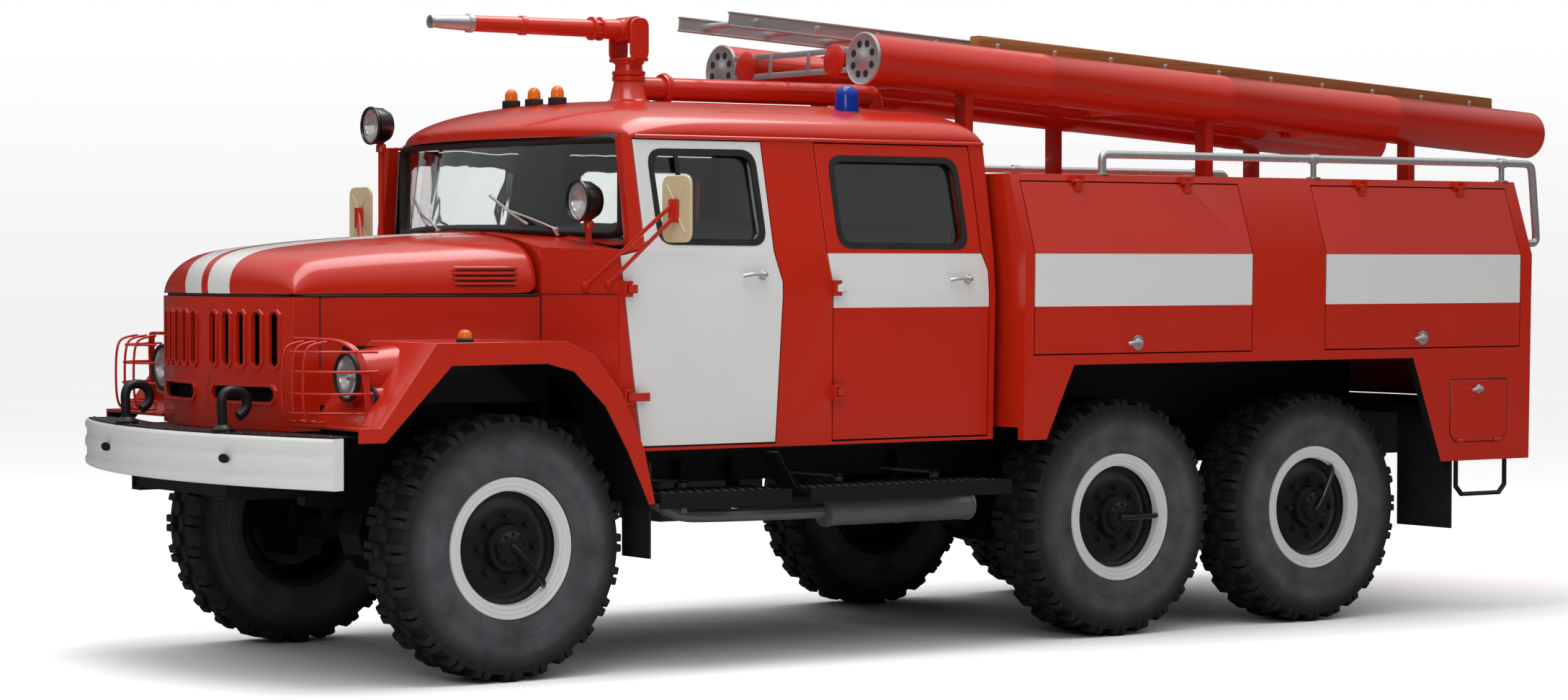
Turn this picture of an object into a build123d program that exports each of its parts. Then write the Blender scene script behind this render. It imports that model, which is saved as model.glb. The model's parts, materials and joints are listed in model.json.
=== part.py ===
from build123d import *
import math
import os

# A 6x6 bonneted crew-cab fire engine. Millimetres. It faces -Y, its left side is +X, the ground is Z = 0.
# Places along it are distances behind the front axle, and along() turns one into a Y coordinate.
os.makedirs("parts", exist_ok=True)

overall_length = 7780
front_overhang = 1125
rear_overhang_end = overall_length - front_overhang
front_axle_y = front_overhang - overall_length / 2
mid_axle = 3350
rear_axle = 4600
half_track = 910
tyre_radius = 558
tyre_half_width = 160
running_gap = 6
pin_clearance = 0.3
body_low_rear = 767


def along(distance):
    return front_axle_y + distance


def side_profile(points, x_from, x_to):
    """A solid from an outline of (distance, height) that runs from one x to another."""
    outline = Polyline(*[(along(distance), height) for distance, height in points], close=True)
    return extrude(Plane.YZ.offset(x_from) * make_face(outline), x_to - x_from)


def cross_profile(points, start, end):
    """A solid from an outline of (x, height) that runs from one distance to another."""
    outline = Polyline(*points, close=True)
    return extrude(Plane.XZ.offset(-along(start)) * make_face(outline), start - end)


def plan_profile(points, z_from, z_to):
    """A solid from an outline of (x, distance) that runs from one height to another."""
    outline = Polyline(*[(x, along(distance)) for x, distance in points], close=True)
    return extrude(Plane.XY.offset(z_from) * make_face(outline), z_to - z_from)


def block(x_from, x_to, start, end, z_from, z_to):
    """A box between two x, two distances and two heights."""
    middle = Pos((x_from + x_to) / 2, along((start + end) / 2), (z_from + z_to) / 2)
    return middle * Box(x_to - x_from, end - start, z_to - z_from)


def point(x, distance, height):
    return Vector(x, along(distance), height)


def pin(start, end, radius):
    """A true round bar between two points of (x, distance, height), for what turns on it."""
    foot = point(*start)
    span = point(*end) - foot
    seat = (Align.CENTER, Align.CENTER, Align.MIN)
    return Plane(origin=foot, z_dir=span) * Cylinder(radius, span.length, align=seat)


def flat_count(radius):
    """How many flats stand for a round face on which nothing turns."""
    return 6 if radius < 18 else 8 if radius < 80 else 12


def bar(start, end, radius, end_radius=None):
    """A flat-sided bar, or a tapered one, between two points of (x, distance, height)."""
    foot = point(*start)
    span = point(*end) - foot
    sides = flat_count(radius)
    narrowing = 0 if end_radius is None else (radius - end_radius) * math.cos(math.pi / sides) / span.length
    outline = Plane(origin=foot, z_dir=span) * RegularPolygon(radius, sides)
    return extrude(outline, span.length, taper=math.degrees(math.atan(narrowing)))


def bore(start, end, radius):
    """What is cut away round a pin of a radius, flat-sided and clear of it."""
    return bar(start, end, (radius + pin_clearance) / math.cos(math.pi / flat_count(radius)))


def bent_tube(points, bend, radius):
    """A flat-sided tube along straight runs of (x, distance, height), each corner cut off a bend away."""
    places = [point(*place) for place in points]
    path = [places[0]]
    for before, corner, after in zip(places, places[1:], places[2:]):
        path.append(corner + (before - corner).normalized() * bend)
        path.append(corner + (after - corner).normalized() * bend)
    path.append(places[-1])
    section = Plane(origin=path[0], z_dir=path[1] - path[0]) * RegularPolygon(radius, flat_count(radius))
    return sweep(section, Polyline(*path), transition=Transition.RIGHT)


def arched_section(distance, half_width, bottom, shoulder, crown):
    """A face across the engine: flat below, upright sides and an arched top."""
    left_foot, left_top = (-half_width, bottom), (-half_width, shoulder)
    right_foot, right_top = (half_width, bottom), (half_width, shoulder)
    outline = Polyline(left_top, left_foot, right_foot, right_top)
    outline += ThreePointArc(right_top, (0, crown), left_top)
    return Plane.XZ.offset(-along(distance)) * make_face(outline)


def chords(half_width, side, middle, breaks=None):
    """Points of (x, value) on a bow from side to middle and back. breaks are parts of the half width."""
    steps_out = [place * half_width for place in (breaks or [0, 1 / 3, 2 / 3, 1])]
    places = [-x for x in reversed(steps_out[1:])] + steps_out
    return [(x, middle + (side - middle) * (x / half_width) ** 2) for x in places]


def chord_section(distance, half_width, bottom, shoulder, crown):
    """A face across the engine like an arched one, its top in chords."""
    outline = [(half_width, bottom), (-half_width, bottom)] + chords(half_width, shoulder, crown)
    return Plane.XZ.offset(-along(distance)) * make_face(Polyline(*outline, close=True))


def slot(length, width, corner):
    """A slot's face about the origin, along X, with cut corners."""
    return chamfer(Rectangle(length, width).vertices(), corner)


def bowed_plan(half_width, side, front, back, z_from, z_to, breaks=None):
    """A solid whose plan has a bowed front through (+-half_width, side) and (0, front), in chords."""
    bow = chords(half_width, side, front, breaks)
    return plan_profile(bow + [(half_width, back), (-half_width, back)], z_from, z_to)


def mirrored(shape):
    return mirror(shape, about=Plane.YZ)


def both_sides(shape):
    return [shape, mirrored(shape)]


def save(name, *shapes):
    solids = [solid for shape in shapes for solid in shape.solids()]
    export_step(solids[0] if len(solids) == 1 else Compound(children=solids), f"parts/{name}.step")


# Frame: two channels with crossmembers.
rail_outer = 440
rail_flange = 80
rail_bottom = 760
rail_top = 1000
rail_wall = 12
rail_start = -1015
rail_end = 5850
crossmembers = [-965, -620, 900, 2350, 3975, 5750]
crossmember_length = 80
rail_inner = rail_outer - rail_flange
web_inner = rail_outer - rail_wall
channel = [
    (rail_inner, rail_bottom), (rail_outer, rail_bottom), (rail_outer, rail_top), (rail_inner, rail_top),
    (rail_inner, rail_top - rail_wall), (web_inner, rail_top - rail_wall),
    (web_inner, rail_bottom + rail_wall), (rail_inner, rail_bottom + rail_wall),
]
frame = cross_profile(channel, rail_start, rail_end)
frame += mirrored(frame)
for distance in crossmembers:
    frame += block(-web_inner, web_inner, distance - crossmember_length / 2, distance + crossmember_length / 2,
                   rail_bottom + rail_wall, rail_bottom + rail_wall + 60)
# The tow jaw on the last crossmember takes a 40 mm tow pin behind the body.
jaw_half_width = 55
jaw_start = crossmembers[-1]
jaw_place = 5950
jaw_end = jaw_place + 50
jaw_ear = 22
jaw_bottom = rail_bottom + rail_wall
jaw_top = jaw_bottom + 88
tow_pin_radius = 20
jaw = block(-jaw_half_width, jaw_half_width, jaw_start, jaw_end, jaw_bottom, jaw_top)
jaw -= block(-jaw_half_width, jaw_half_width, rail_end + 20, jaw_end, jaw_bottom + jaw_ear, jaw_top - jaw_ear)
jaw -= pin((0, jaw_place, jaw_bottom), (0, jaw_place, jaw_top), tow_pin_radius)
save("frame_rails", frame + jaw)

# Axles: a tube with a round differential, spring seats, and spindles or yokes at its ends.
axle_height = tyre_radius
axle_radius = 65
differential_radius = 185
differential_half_width = 90
spindle_radius = 50
spindle_end = 955
axle_half_length = 840
pinion_radius = 75
pinion_reach = 300
spring_inner = 370
spring_outer = 470
spring_seat_top = axle_height + 90
kingpin_x = 790
kingpin_radius = 22
yoke_start = 690
yoke_face = 728
yoke_end = 845
yoke_half_length = 60
yoke_gap_half_height = 110
yoke_half_height = 150


def axle(distance, half_length, nose_start, nose_end):
    """An axle tube with its differential, pinion nose and spring seats."""
    tube = bar((-half_length, distance, axle_height), (half_length, distance, axle_height), axle_radius)
    bulge = bar((-differential_half_width, distance, axle_height),
                (differential_half_width, distance, axle_height), differential_radius)
    nose = bar((0, distance + nose_start, axle_height), (0, distance + nose_end, axle_height), pinion_radius)
    seat = block(spring_inner, spring_outer, distance - 60, distance + 60, axle_height, spring_seat_top)
    return tube + bulge + nose + seat + mirrored(seat)


front_axle = axle(0, yoke_start, 0, pinion_reach)
yoke = block(yoke_start, yoke_end, -yoke_half_length, yoke_half_length,
             axle_height - yoke_half_height, axle_height + yoke_half_height)
yoke -= block(yoke_face, yoke_end, -yoke_half_length, yoke_half_length,
              axle_height - yoke_gap_half_height, axle_height + yoke_gap_half_height)
yoke -= bore((kingpin_x, 0, axle_height - yoke_half_height), (kingpin_x, 0, axle_height + yoke_half_height),
             kingpin_radius)
save("front_axle", front_axle + yoke + mirrored(yoke))

rear_axles = []
for distance, nose_end in ((mid_axle, pinion_reach), (rear_axle, 0)):
    spindle = pin((axle_half_length, distance, axle_height), (spindle_end, distance, axle_height), spindle_radius)
    rear_axles.append(axle(distance, axle_half_length, -pinion_reach, nose_end) + spindle + mirrored(spindle))
save("rear_axles", *rear_axles)

# Steering knuckles: a barrel between the yoke arms and the stub that carries the wheel.
knuckle_radius = 52
knuckle_half_height = yoke_gap_half_height - running_gap
knuckle = pin((kingpin_x, 0, axle_height - yoke_half_height), (kingpin_x, 0, axle_height + yoke_half_height),
              kingpin_radius)
knuckle += bar((kingpin_x, 0, axle_height - knuckle_half_height),
               (kingpin_x, 0, axle_height + knuckle_half_height), knuckle_radius)
knuckle += pin((kingpin_x, 0, axle_height), (spindle_end, 0, axle_height), spindle_radius)
save("knuckle_left", knuckle)
save("knuckle_right", mirrored(knuckle))

# Wheels: a lugged tyre on a dished disc with its rim, hub and brake drum. The tyre and the rim are flat-sided,
# with a flat under each groove, and the tyre stands on a lug.
lug_count = 24
lug_pitch = 360 / lug_count
lug_height = 28
lug_end = 140
lug_half_angle = lug_pitch / 4
lug_foot_half_angle = lug_pitch * 0.31
tread_base = tyre_radius - lug_height
bulge_radius = 430
bead_radius = 300
bead_offset = 140
rim_start = -145
rim_end = 140
rim_inner = 236
disc_face = 80
disc_thickness = 22
drum_start = -40
drum_radius = 205
hub_radius = 95
hub_sides = 8
hub_end = 165
bore_end = 60


def ring(start, end, radius, end_radius=None, sides=lug_count):
    """A flat-sided disc or cone about a wheel's axis, between two offsets from the wheel's middle."""
    outline = RegularPolygon(radius, sides, major_radius=False)
    narrowing = 0 if end_radius is None else (radius - end_radius) / abs(end - start)
    return extrude(Plane.YZ.offset(start) * outline, end - start, taper=math.degrees(math.atan(narrowing)))


def on_flat(radius, angle, flat):
    """The point at an angle on a flat that lies square to the angle given for it, in degrees."""
    reach = radius / math.cos(math.radians(angle - flat))
    return (reach * math.cos(math.radians(angle)), reach * math.sin(math.radians(angle)))


tread_outline = []
for index in range(lug_count):
    middle = index * lug_pitch
    before, after = middle - lug_pitch / 2, middle + lug_pitch / 2
    tread_outline += [
        on_flat(tread_base, middle - lug_foot_half_angle, before),
        on_flat(tyre_radius, middle - lug_half_angle, middle),
        on_flat(tyre_radius, middle + lug_half_angle, middle),
        on_flat(tread_base, middle + lug_foot_half_angle, after),
    ]
tyre_form = extrude(Plane.YZ.offset(-lug_end) * make_face(Polyline(*tread_outline, close=True)), 2 * lug_end)
for side in (1, -1):
    tyre_form += ring(side * lug_end, side * tyre_half_width, tread_base, bulge_radius)
    tyre_form -= ring(side * tyre_half_width, side * bead_offset, bulge_radius, bead_radius)
tyre_form -= ring(-tyre_half_width, tyre_half_width, bead_radius)
wheel_form = ring(rim_start, rim_end, bead_radius)
wheel_form -= ring(rim_start, disc_face - disc_thickness, rim_inner, sides=12)
wheel_form -= ring(disc_face, rim_end, rim_inner)
wheel_form += ring(drum_start, disc_face, drum_radius, sides=hub_sides)
wheel_form += ring(disc_face, hub_end, hub_radius, sides=hub_sides)
wheel_form -= ring(drum_start, bore_end, spindle_radius + pin_clearance, sides=hub_sides)
wheel_places = {"front": 0, "middle": mid_axle, "rear": rear_axle}
for row_name, distance in wheel_places.items():
    place = Pos(half_track, along(distance), axle_height)
    save(f"tyre_{row_name}_left", place * tyre_form)
    save(f"tyre_{row_name}_right", mirrored(place * tyre_form))
    save(f"wheel_{row_name}_left", place * wheel_form)
    save(f"wheel_{row_name}_right", mirrored(place * wheel_form))

# Leaf springs: a front pair under the rails and a balanced pair between the rear axles.
front_spring = side_profile([
    (-640, 725), (-60, spring_seat_top), (60, spring_seat_top), (640, 725), (640, rail_bottom), (560, rail_bottom),
    (60, spring_seat_top + 95), (-60, spring_seat_top + 95), (-560, rail_bottom), (-640, rail_bottom),
], spring_inner, rail_outer)
bogie_middle = (mid_axle + rear_axle) / 2
bogie_spring = side_profile([
    (mid_axle - 60, spring_seat_top), (rear_axle + 60, spring_seat_top), (rear_axle + 60, spring_seat_top + 25),
    (bogie_middle + 110, rail_bottom), (bogie_middle - 110, rail_bottom), (mid_axle - 60, spring_seat_top + 25),
], spring_inner, rail_outer)
save("leaf_springs", *both_sides(front_spring), *both_sides(bogie_spring))

# Drivetrain: the engine and gearbox as one plain block each, the transfer case and the shafts.
engine = block(-250, 250, -560, 300, 790, 1480)
gearbox = block(-160, 160, 300, 840, 780, 940)
transfer = block(-170, 170, 1350, 1750, 560, 930)
input_shaft = bar((0, 840, 885), (0, 1350, 885), 38)


def slanted_shaft(start, end, radius):
    """A shaft between two upright faces at points of (distance, height)."""
    face = Plane.XZ.offset(-along(start[0])) * Pos(0, start[1]) * RegularPolygon(radius, flat_count(radius))
    run = Vector(0, end[0] - start[0], end[1] - start[1])
    return extrude(face, run.length, dir=run)


front_shaft = slanted_shaft((pinion_reach, axle_height), (1350, 640), 38)
rear_shaft = slanted_shaft((1750, 640), (mid_axle - pinion_reach, axle_height), 38)
bogie_shaft = bar((0, mid_axle + pinion_reach, axle_height), (0, rear_axle - pinion_reach, axle_height), 38)
save("drivetrain", engine + gearbox + input_shaft + transfer, front_shaft, rear_shaft, bogie_shaft)

# Fuel tank on the right rail and the exhaust on the left, each on hangers.
fuel_tank_inner = 520
fuel_tank = chamfer(block(-848, -fuel_tank_inner, 1600, 2430, 600, 960).edges().filter_by(Axis.Y), 45)
for distance in (1700, 2290):
    fuel_tank += block(-fuel_tank_inner, -rail_outer, distance, distance + 60, 800, 900)
save("fuel_tank", fuel_tank)

muffler_x = 840
muffler_height = 632
hanger_top = 800
exhaust = bar((muffler_x, 1766, muffler_height), (muffler_x, 2610, muffler_height), 68)
exhaust += bar((muffler_x, 860, muffler_height), (muffler_x, 1766, muffler_height), 32)
for distance in (1000, 1850, 2400):
    exhaust += block(rail_outer, muffler_x + 10, distance, distance + 30, hanger_top - 20, hanger_top)
    exhaust += block(muffler_x - 30, muffler_x + 10, distance, distance + 30, muffler_height, hanger_top)
save("exhaust", exhaust)

# Steps: running boards on brackets that hang from the rails.
board_top = 766
board_bottom = 742
board_inner = 860
board_outer = 1180
board_lip = 12
bracket_depth = 24
steps = []
for start, end in ((662, 1350), (1452, 2580)):
    board = block(board_inner, board_outer, start, end, board_bottom, board_top)
    board += block(board_outer - board_lip, board_outer, start, end, board_bottom - 40, board_top)
    for place in (start + 70, end - 110):
        bracket_low = board_bottom - bracket_depth
        board += block(rail_outer, board_outer - board_lip, place, place + 40, bracket_low, board_bottom)
        board += block(rail_outer, rail_outer + 50, place, place + 40, bracket_low, 860)
    steps.append(board)
# A bent step iron hangs under the body's rear corner.
iron_x = 1216
iron_start = 5400
iron_end = 5745
iron_low = 600
steps.append(bent_tube([
    (iron_x, iron_start, body_low_rear), (iron_x, iron_start, iron_low), (iron_x, iron_end, iron_low),
    (iron_x, iron_end, body_low_rear)], 40, 12))
save("steps", *[half for piece in steps for half in both_sides(piece)])

# Bumper: a bowed channel with the deck plate behind it, tow hooks and its two mounts on the rails.
bumper_half_width = 1150
bumper_front = -front_overhang
bumper_side = -905
bumper_bottom = 829
bumper_top = 1045
bumper_wall = 12
bumper_depth = 75
bumper_hole_x = 559
bumper_hole_height = 942
hook_x = 454
deck_half_width = 560


def bumper_layer(inset, depth, z_from, z_to):
    """A bowed strip that follows the bumper's front arc."""
    outer = bowed_plan(bumper_half_width, bumper_side + inset, bumper_front + inset, 0, z_from, z_to)
    return outer - bowed_plan(bumper_half_width, bumper_side + depth, bumper_front + depth, 0, z_from, z_to)


bumper = bumper_layer(0, bumper_wall, bumper_bottom, bumper_top)
bumper += bumper_layer(0, bumper_depth, bumper_bottom, bumper_bottom + bumper_wall)
bumper += bumper_layer(0, bumper_depth, bumper_top - bumper_wall, bumper_top)
deck = bowed_plan(deck_half_width, -1060, bumper_front + bumper_wall, -700, bumper_top - bumper_wall, bumper_top)
mount = block(rail_inner, rail_outer, -1085, rail_start, 850, rail_top - 20)
bumper += deck + mount + mirrored(mount)
for x in (bumper_hole_x, -bumper_hole_x):
    hole = Plane.XZ.offset(-along(bumper_front - 20)) * Pos(x, bumper_hole_height) * slot(90, 46, 14)
    bumper -= extrude(hole, -120)
hook = bent_tube([
    (hook_x, -1035, bumper_top - 5), (hook_x, -1035, 1190), (hook_x, -945, 1190), (hook_x, -945, 1130)], 32, 18)
hook += bar((hook_x, -1035, bumper_top - 5), (hook_x, -1035, bumper_top + 20), 45)
save("bumper", bumper + hook + mirrored(hook))

# Nose: the grille shell with its slots, and the bonnet that closes on it.
nose_half_width = 600
nose_side = -780
nose_front = -890
nose_back = -656
nose_wall = 22
grille_bottom = bumper_top
grille_top = 1600
slot_columns = [90, 191, 292, 393, 494]
slot_width = 50
slot_low = 1311
slot_high = 1538
wide_slot_half = 205
wide_slot_x = 290
wide_slot_height = 1195
wide_slot_width = 62
nose_breaks = [0, 0.235, 0.572, 1]
grille = bowed_plan(nose_half_width, nose_side, nose_front, nose_back, grille_bottom, grille_top, nose_breaks)
grille -= bowed_plan(nose_half_width - nose_wall, nose_side + nose_wall, nose_front + nose_wall, nose_back,
                     grille_bottom, grille_top, nose_breaks)
# Each slot is pressed out with a raised rim. The columns are x, height, size along X and upright size.
rim_width = 13
rim_height = 10
upright_slots = [(x, (slot_low + slot_high) / 2, slot_width, slot_high - slot_low) for x in slot_columns]
grille_slots = upright_slots + [(wide_slot_x, wide_slot_height, 2 * wide_slot_half, wide_slot_width)]
rim_layer = bowed_plan(nose_half_width, nose_side - rim_height, nose_front - rim_height, nose_back,
                       grille_bottom, grille_top, nose_breaks)
slot_place = Plane.XZ.offset(-along(nose_front - 2 * rim_height))
slot_depth = nose_side + nose_wall - nose_front + 2 * rim_height
for x, height, length, width in grille_slots:
    corner = min(length, width) * 0.3
    for middle in (x, -x):
        rim = slot(length + 2 * rim_width, width + 2 * rim_width, corner + rim_width / 2)
        grille += extrude(slot_place * Pos(middle, height) * rim, -(slot_depth - nose_wall)) & rim_layer
        grille -= extrude(slot_place * Pos(middle, height) * slot(length, width, corner), -slot_depth)
save("grille_shell", grille)

bonnet_bottom = grille_top + 10
bonnet_wall = 18
bonnet_rear = 325
cowl_start = bonnet_rear + 10
cowl_half_width = 752
bonnet_crown = 1850
bonnet_edge = 1790
bonnet_slope = 0.1486
bonnet_length = bonnet_rear - nose_front
nose_lap = 20


def bonnet_form(inset, z_low):
    """The bonnet's closed form: an arched section drawn down the slope, cut to the plan of the nose."""
    section = arched_section(bonnet_rear, cowl_half_width - inset, z_low, bonnet_edge - inset, bonnet_crown - inset)
    run = Vector(0, -1, -bonnet_slope)
    drawn = extrude(section, (bonnet_length + 50) * run.length, dir=run)
    front = nose_front + inset
    plan = plan_profile([
        (-nose_half_width + inset, nose_back), (-nose_half_width + inset, front), (nose_half_width - inset, front),
        (nose_half_width - inset, nose_back), (cowl_half_width - inset, bonnet_rear),
        (-cowl_half_width + inset, bonnet_rear)], bonnet_bottom, bonnet_crown)
    bow = bowed_plan(cowl_half_width, nose_side - nose_lap + inset, front, bonnet_rear, bonnet_bottom, bonnet_crown)
    return drawn & plan & bow


bonnet = bonnet_form(0, 1200) - bonnet_form(bonnet_wall, 1200)
# Four louvres one above the other on each side of the bonnet.
louvre_heights = [1650, 1672, 1694, 1716]
louvre_start = -56
louvre_end = 219
louvre_depth = 10
louvre_root = 9
louvre_lift = 12
flare = (cowl_half_width - nose_half_width) / (bonnet_rear - nose_back)
front_x, back_x = [nose_half_width + flare * (place - nose_back) for place in (louvre_start, louvre_end)]
louvre_plan = [
    (front_x - louvre_root, louvre_start), (front_x + louvre_lift, louvre_start),
    (back_x + louvre_lift, louvre_end), (back_x - louvre_root, louvre_end),
]
for height in louvre_heights:
    louvre = plan_profile(louvre_plan, height, height + louvre_depth)
    bonnet += louvre + mirrored(louvre)
bonnet_axis = bonnet_rear + 5
bonnet_axis_height = 1866
bonnet_hinge_x = 250

# Front wings: a bent sheet with a deep outer lip, and the panels beside the engine.
wing_outer = 1170
wing_inner = 596
wing_sheet = 15
wing_upper = [
    (-790, 1080), (-690, 1080), (-430, 1418), (190, 1418), (330, 1360), (470, 1200), (585, 960), (642, 724),
]
wing_lower = [
    (607, 721), (500, 950), (387, 1142), (230, 1290), (100, 1324), (-358, 1322), (-669, 1017), (-790, 1017),
]
wing_under = [
    (-800, 1065), (-683, 1065), (-423, 1403), (186, 1403), (322, 1347), (456, 1194), (570, 955), (626, 700),
]
wing = side_profile(wing_upper + wing_lower, wing_inner, wing_outer)
wing -= side_profile(wing_under + [(626, 400), (-800, 400)], wing_inner, wing_outer - wing_sheet)
side_panel = plan_profile([
    (nose_half_width - 12, nose_back), (nose_half_width, nose_back), (cowl_half_width, cowl_start),
    (cowl_half_width - 12, cowl_start),
], 1150, grille_top)
wing = (wing - plan_profile([
    (0, -1200), (nose_half_width, -1200), (nose_half_width, nose_back), (cowl_half_width, cowl_start),
    (cowl_half_width, 700), (0, 700),
], 600, 2000)) + side_panel
save("front_wings", *both_sides(wing))

# Hinges: a pin held by two fixed lugs, and one lug on what swings between them. In each pair of hinges the first
# pin is truly round and the second flat-sided, which keeps the facets few.
pin_makers = [pin, bar]
hinge_pin_radius = 8
hinge_barrel_radius = 14
hinge_lug = 36
hinge_plate = 14
hinge_play = 2
door_axis_x = 1118
door_hinge_heights = [1633, 1177]
door_axes = {"front": 545, "rear": 1649}


def upright_hinge(axis_x, axis_distance, height, fixed_arm, swing_arm, make_pin):
    """The fixed and the swinging half of a hinge on an upright pin. An arm is two x and two distances."""
    low, high = height - hinge_lug / 2, height + hinge_lug / 2
    bottom, top = low - hinge_play - hinge_plate, high + hinge_play + hinge_plate
    fixed = make_pin((axis_x, axis_distance, bottom), (axis_x, axis_distance, top), hinge_pin_radius)
    for plate_low, plate_high in ((bottom, low - hinge_play), (high + hinge_play, top)):
        fixed += bar((axis_x, axis_distance, plate_low), (axis_x, axis_distance, plate_high), hinge_barrel_radius)
        fixed += block(*fixed_arm, plate_low, plate_high)
    swing = bar((axis_x, axis_distance, low), (axis_x, axis_distance, high), hinge_barrel_radius)
    swing += block(*swing_arm, low, high)
    return fixed, swing - bore((axis_x, axis_distance, low), (axis_x, axis_distance, high), hinge_pin_radius)


def edge_distance(outline, height):
    """The front edge of a door outline at a height below the belt."""
    edge = [place for place in outline if place[1] < belt][:3]
    for (distance_high, high), (distance_low, low) in zip(edge, edge[1:]):
        if low <= height <= high:
            return distance_low + (distance_high - distance_low) * (height - low) / (high - low)


# Cab: cowl, floor with back wall, side frames with door openings, roof and windscreen.
cab_sill = 945
floor_thickness = 40
floor_half = 1028
floor_top = rail_top + floor_thickness
door_thickness = 50
cab_front = 508
cab_back = 2550
cab_top = 2285
door_gap = 6
belt = 1785
cab_skin = [(1085, cab_sill), (1100, 1600), (1085, belt), (1005, cab_top)]
cowl_half_rear = 1088
cowl_wall = 40
cowl_crown = 1850


def side_band(skin, thickness, start, end):
    """An upright wall that follows a skin outline of (x, height)."""
    inner = [(x - thickness, height) for x, height in reversed(skin)]
    return cross_profile(skin + inner, start, end)


wheel_space = side_profile(wing_upper + [(642, 400), (-790, 400)], cowl_half_width, wing_outer + 50)
wheel_space += mirrored(wheel_space)
cowl_rows = [
    # distance, half width, bottom, shoulder, crown
    (cowl_start, cowl_half_width, 1150, 1790, cowl_crown),
    (cab_front, cowl_half_rear, 1150, 1800, cowl_crown),
]
cowl_inner_rows = [
    (cowl_start + cowl_wall, cowl_half_width + 10, 1100, 1750, cowl_crown - 35),
    (cab_front + 1, cowl_half_rear - cowl_wall - 13, 1100, 1770, cowl_crown - 35),
]
cowl_form = loft([chord_section(*row) for row in cowl_rows], ruled=True)
cowl = cowl_form - loft([chord_section(*row) for row in cowl_inner_rows], ruled=True)
scuttle_half = 1020
scuttle = extrude(arched_section(cab_front, scuttle_half, 1815, 1822, cowl_crown), -(665 - cab_front))
toe_board = block(-cowl_half_width, cowl_half_width, cowl_start, cowl_start + cowl_wall, rail_top, 1150)
toe_board += block(-floor_half, floor_half, cowl_start, cab_front, rail_top, floor_top)
cowl_foot = plan_profile([
    (cowl_half_width - 60, cowl_start), (cowl_half_width, cowl_start), (cowl_half_rear, cab_front),
    (cowl_half_rear - 53, cab_front),
], rail_top, 1150)
cowl += scuttle + toe_board + cowl_foot + mirrored(cowl_foot)
# The turned front wheels sweep past the toe board's lower corners.
sweep_radius = tyre_radius + 30
sweep_inner = 480
for side in (1, -1):
    cowl -= pin((side * sweep_inner, 0, axle_height), (side * (wing_outer + 50), 0, axle_height), sweep_radius)
cowl -= wheel_space
for side, make_pin in zip((1, -1), pin_makers):
    pin_span = [side * bonnet_hinge_x - 36, side * bonnet_hinge_x + 36]
    lug_span = (side * bonnet_hinge_x - hinge_lug / 2, side * bonnet_hinge_x + hinge_lug / 2)
    lug = block(*lug_span, bonnet_rear - 50, bonnet_axis + 13, bonnet_axis_height - 13, bonnet_axis_height + 13)
    lug += block(*lug_span, bonnet_rear - 50, bonnet_rear - 15, 1830, bonnet_axis_height)
    axis_ends = [(x, bonnet_axis, bonnet_axis_height) for x in pin_span]
    bonnet += lug - bore(*axis_ends, hinge_pin_radius)
    cowl += make_pin(*axis_ends, hinge_pin_radius)
    for low_x in (pin_span[0], pin_span[1] - hinge_plate):
        cowl += block(low_x, low_x + hinge_plate, bonnet_axis - 12, bonnet_axis + 45, bonnet_axis_height - 9,
                      bonnet_axis_height + 13)
        cowl += block(low_x, low_x + hinge_plate, cowl_start, bonnet_axis + 45, 1825, bonnet_axis_height + 13)
save("bonnet", bonnet)
save("cab_cowl", cowl)

inner_skin = [(x - door_thickness, max(height, rail_top)) for x, height in cab_skin]
tub = block(-floor_half, floor_half, cab_front, cab_back, rail_top, floor_top)
back_outline = inner_skin + [(-x, height) for x, height in reversed(inner_skin)]
tub += cross_profile(back_outline, cab_back - 40, cab_back)
tub -= wheel_space
save("cab_tub", tub)

door_outlines = {
    # outline of (distance, height), clockwise from the top front corner
    "front": [(632, 2268), (650, 1800), (520, 1772), (535, 1605), (625, 965), (1328, 965), (1360, 1661),
              (1320, 1790), (1300, 2268)],
    "rear": [(1592, 2268), (1612, 1790), (1635, 1661), (1640, 965), (2513, 965), (2513, 1708), (2478, 1790),
             (2459, 2268)],
}
window_outlines = {
    "front": [(712, 2215), (735, 1836), (1272, 1832), (1248, 2218)],
    "rear": [(1672, 2202), (1690, 1822), (2396, 1818), (2370, 2202)],
}
window_corner = 38
glass_thickness = 8


def outline_face(points):
    return Plane.YZ * make_face(Polyline(*[(along(distance), height) for distance, height in points], close=True))


def through_side(face, x_from=900, x_to=1200):
    return extrude(Pos(x_from, 0, 0) * face, x_to - x_from)


side_wall = side_band(cab_skin, door_thickness, cab_front, cab_back)
side_wall -= block(900, 1200, cab_front, 575, 1800, 2400)
for row_name, outline in door_outlines.items():
    side_wall -= through_side(offset(outline_face(outline), door_gap, kind=Kind.INTERSECTION))
side_wall -= wheel_space
door_lugs = {"front": [], "rear": []}
lug_inner = door_axis_x - 12
lug_outer = door_axis_x + 14
for row_name, outline in door_outlines.items():
    axis = door_axes[row_name]
    for height, make_pin in zip(door_hinge_heights, pin_makers):
        edge = edge_distance(outline, height)
        fixed, swing = upright_hinge(door_axis_x, axis, height, (lug_inner, lug_outer, axis - 33, axis),
                                     (lug_inner, lug_outer, axis, edge + 45), make_pin)
        door_lugs[row_name].append(swing + block(1080, lug_outer, max(edge, axis) + 14, edge + 45,
                                                 height - hinge_lug / 2, height + hinge_lug / 2))
        foot = block(1080, lug_outer, axis - 33, axis - 23, height - 34, height + 34)
        side_wall += fixed + foot
save("cab_sides", *both_sides(side_wall))

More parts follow.
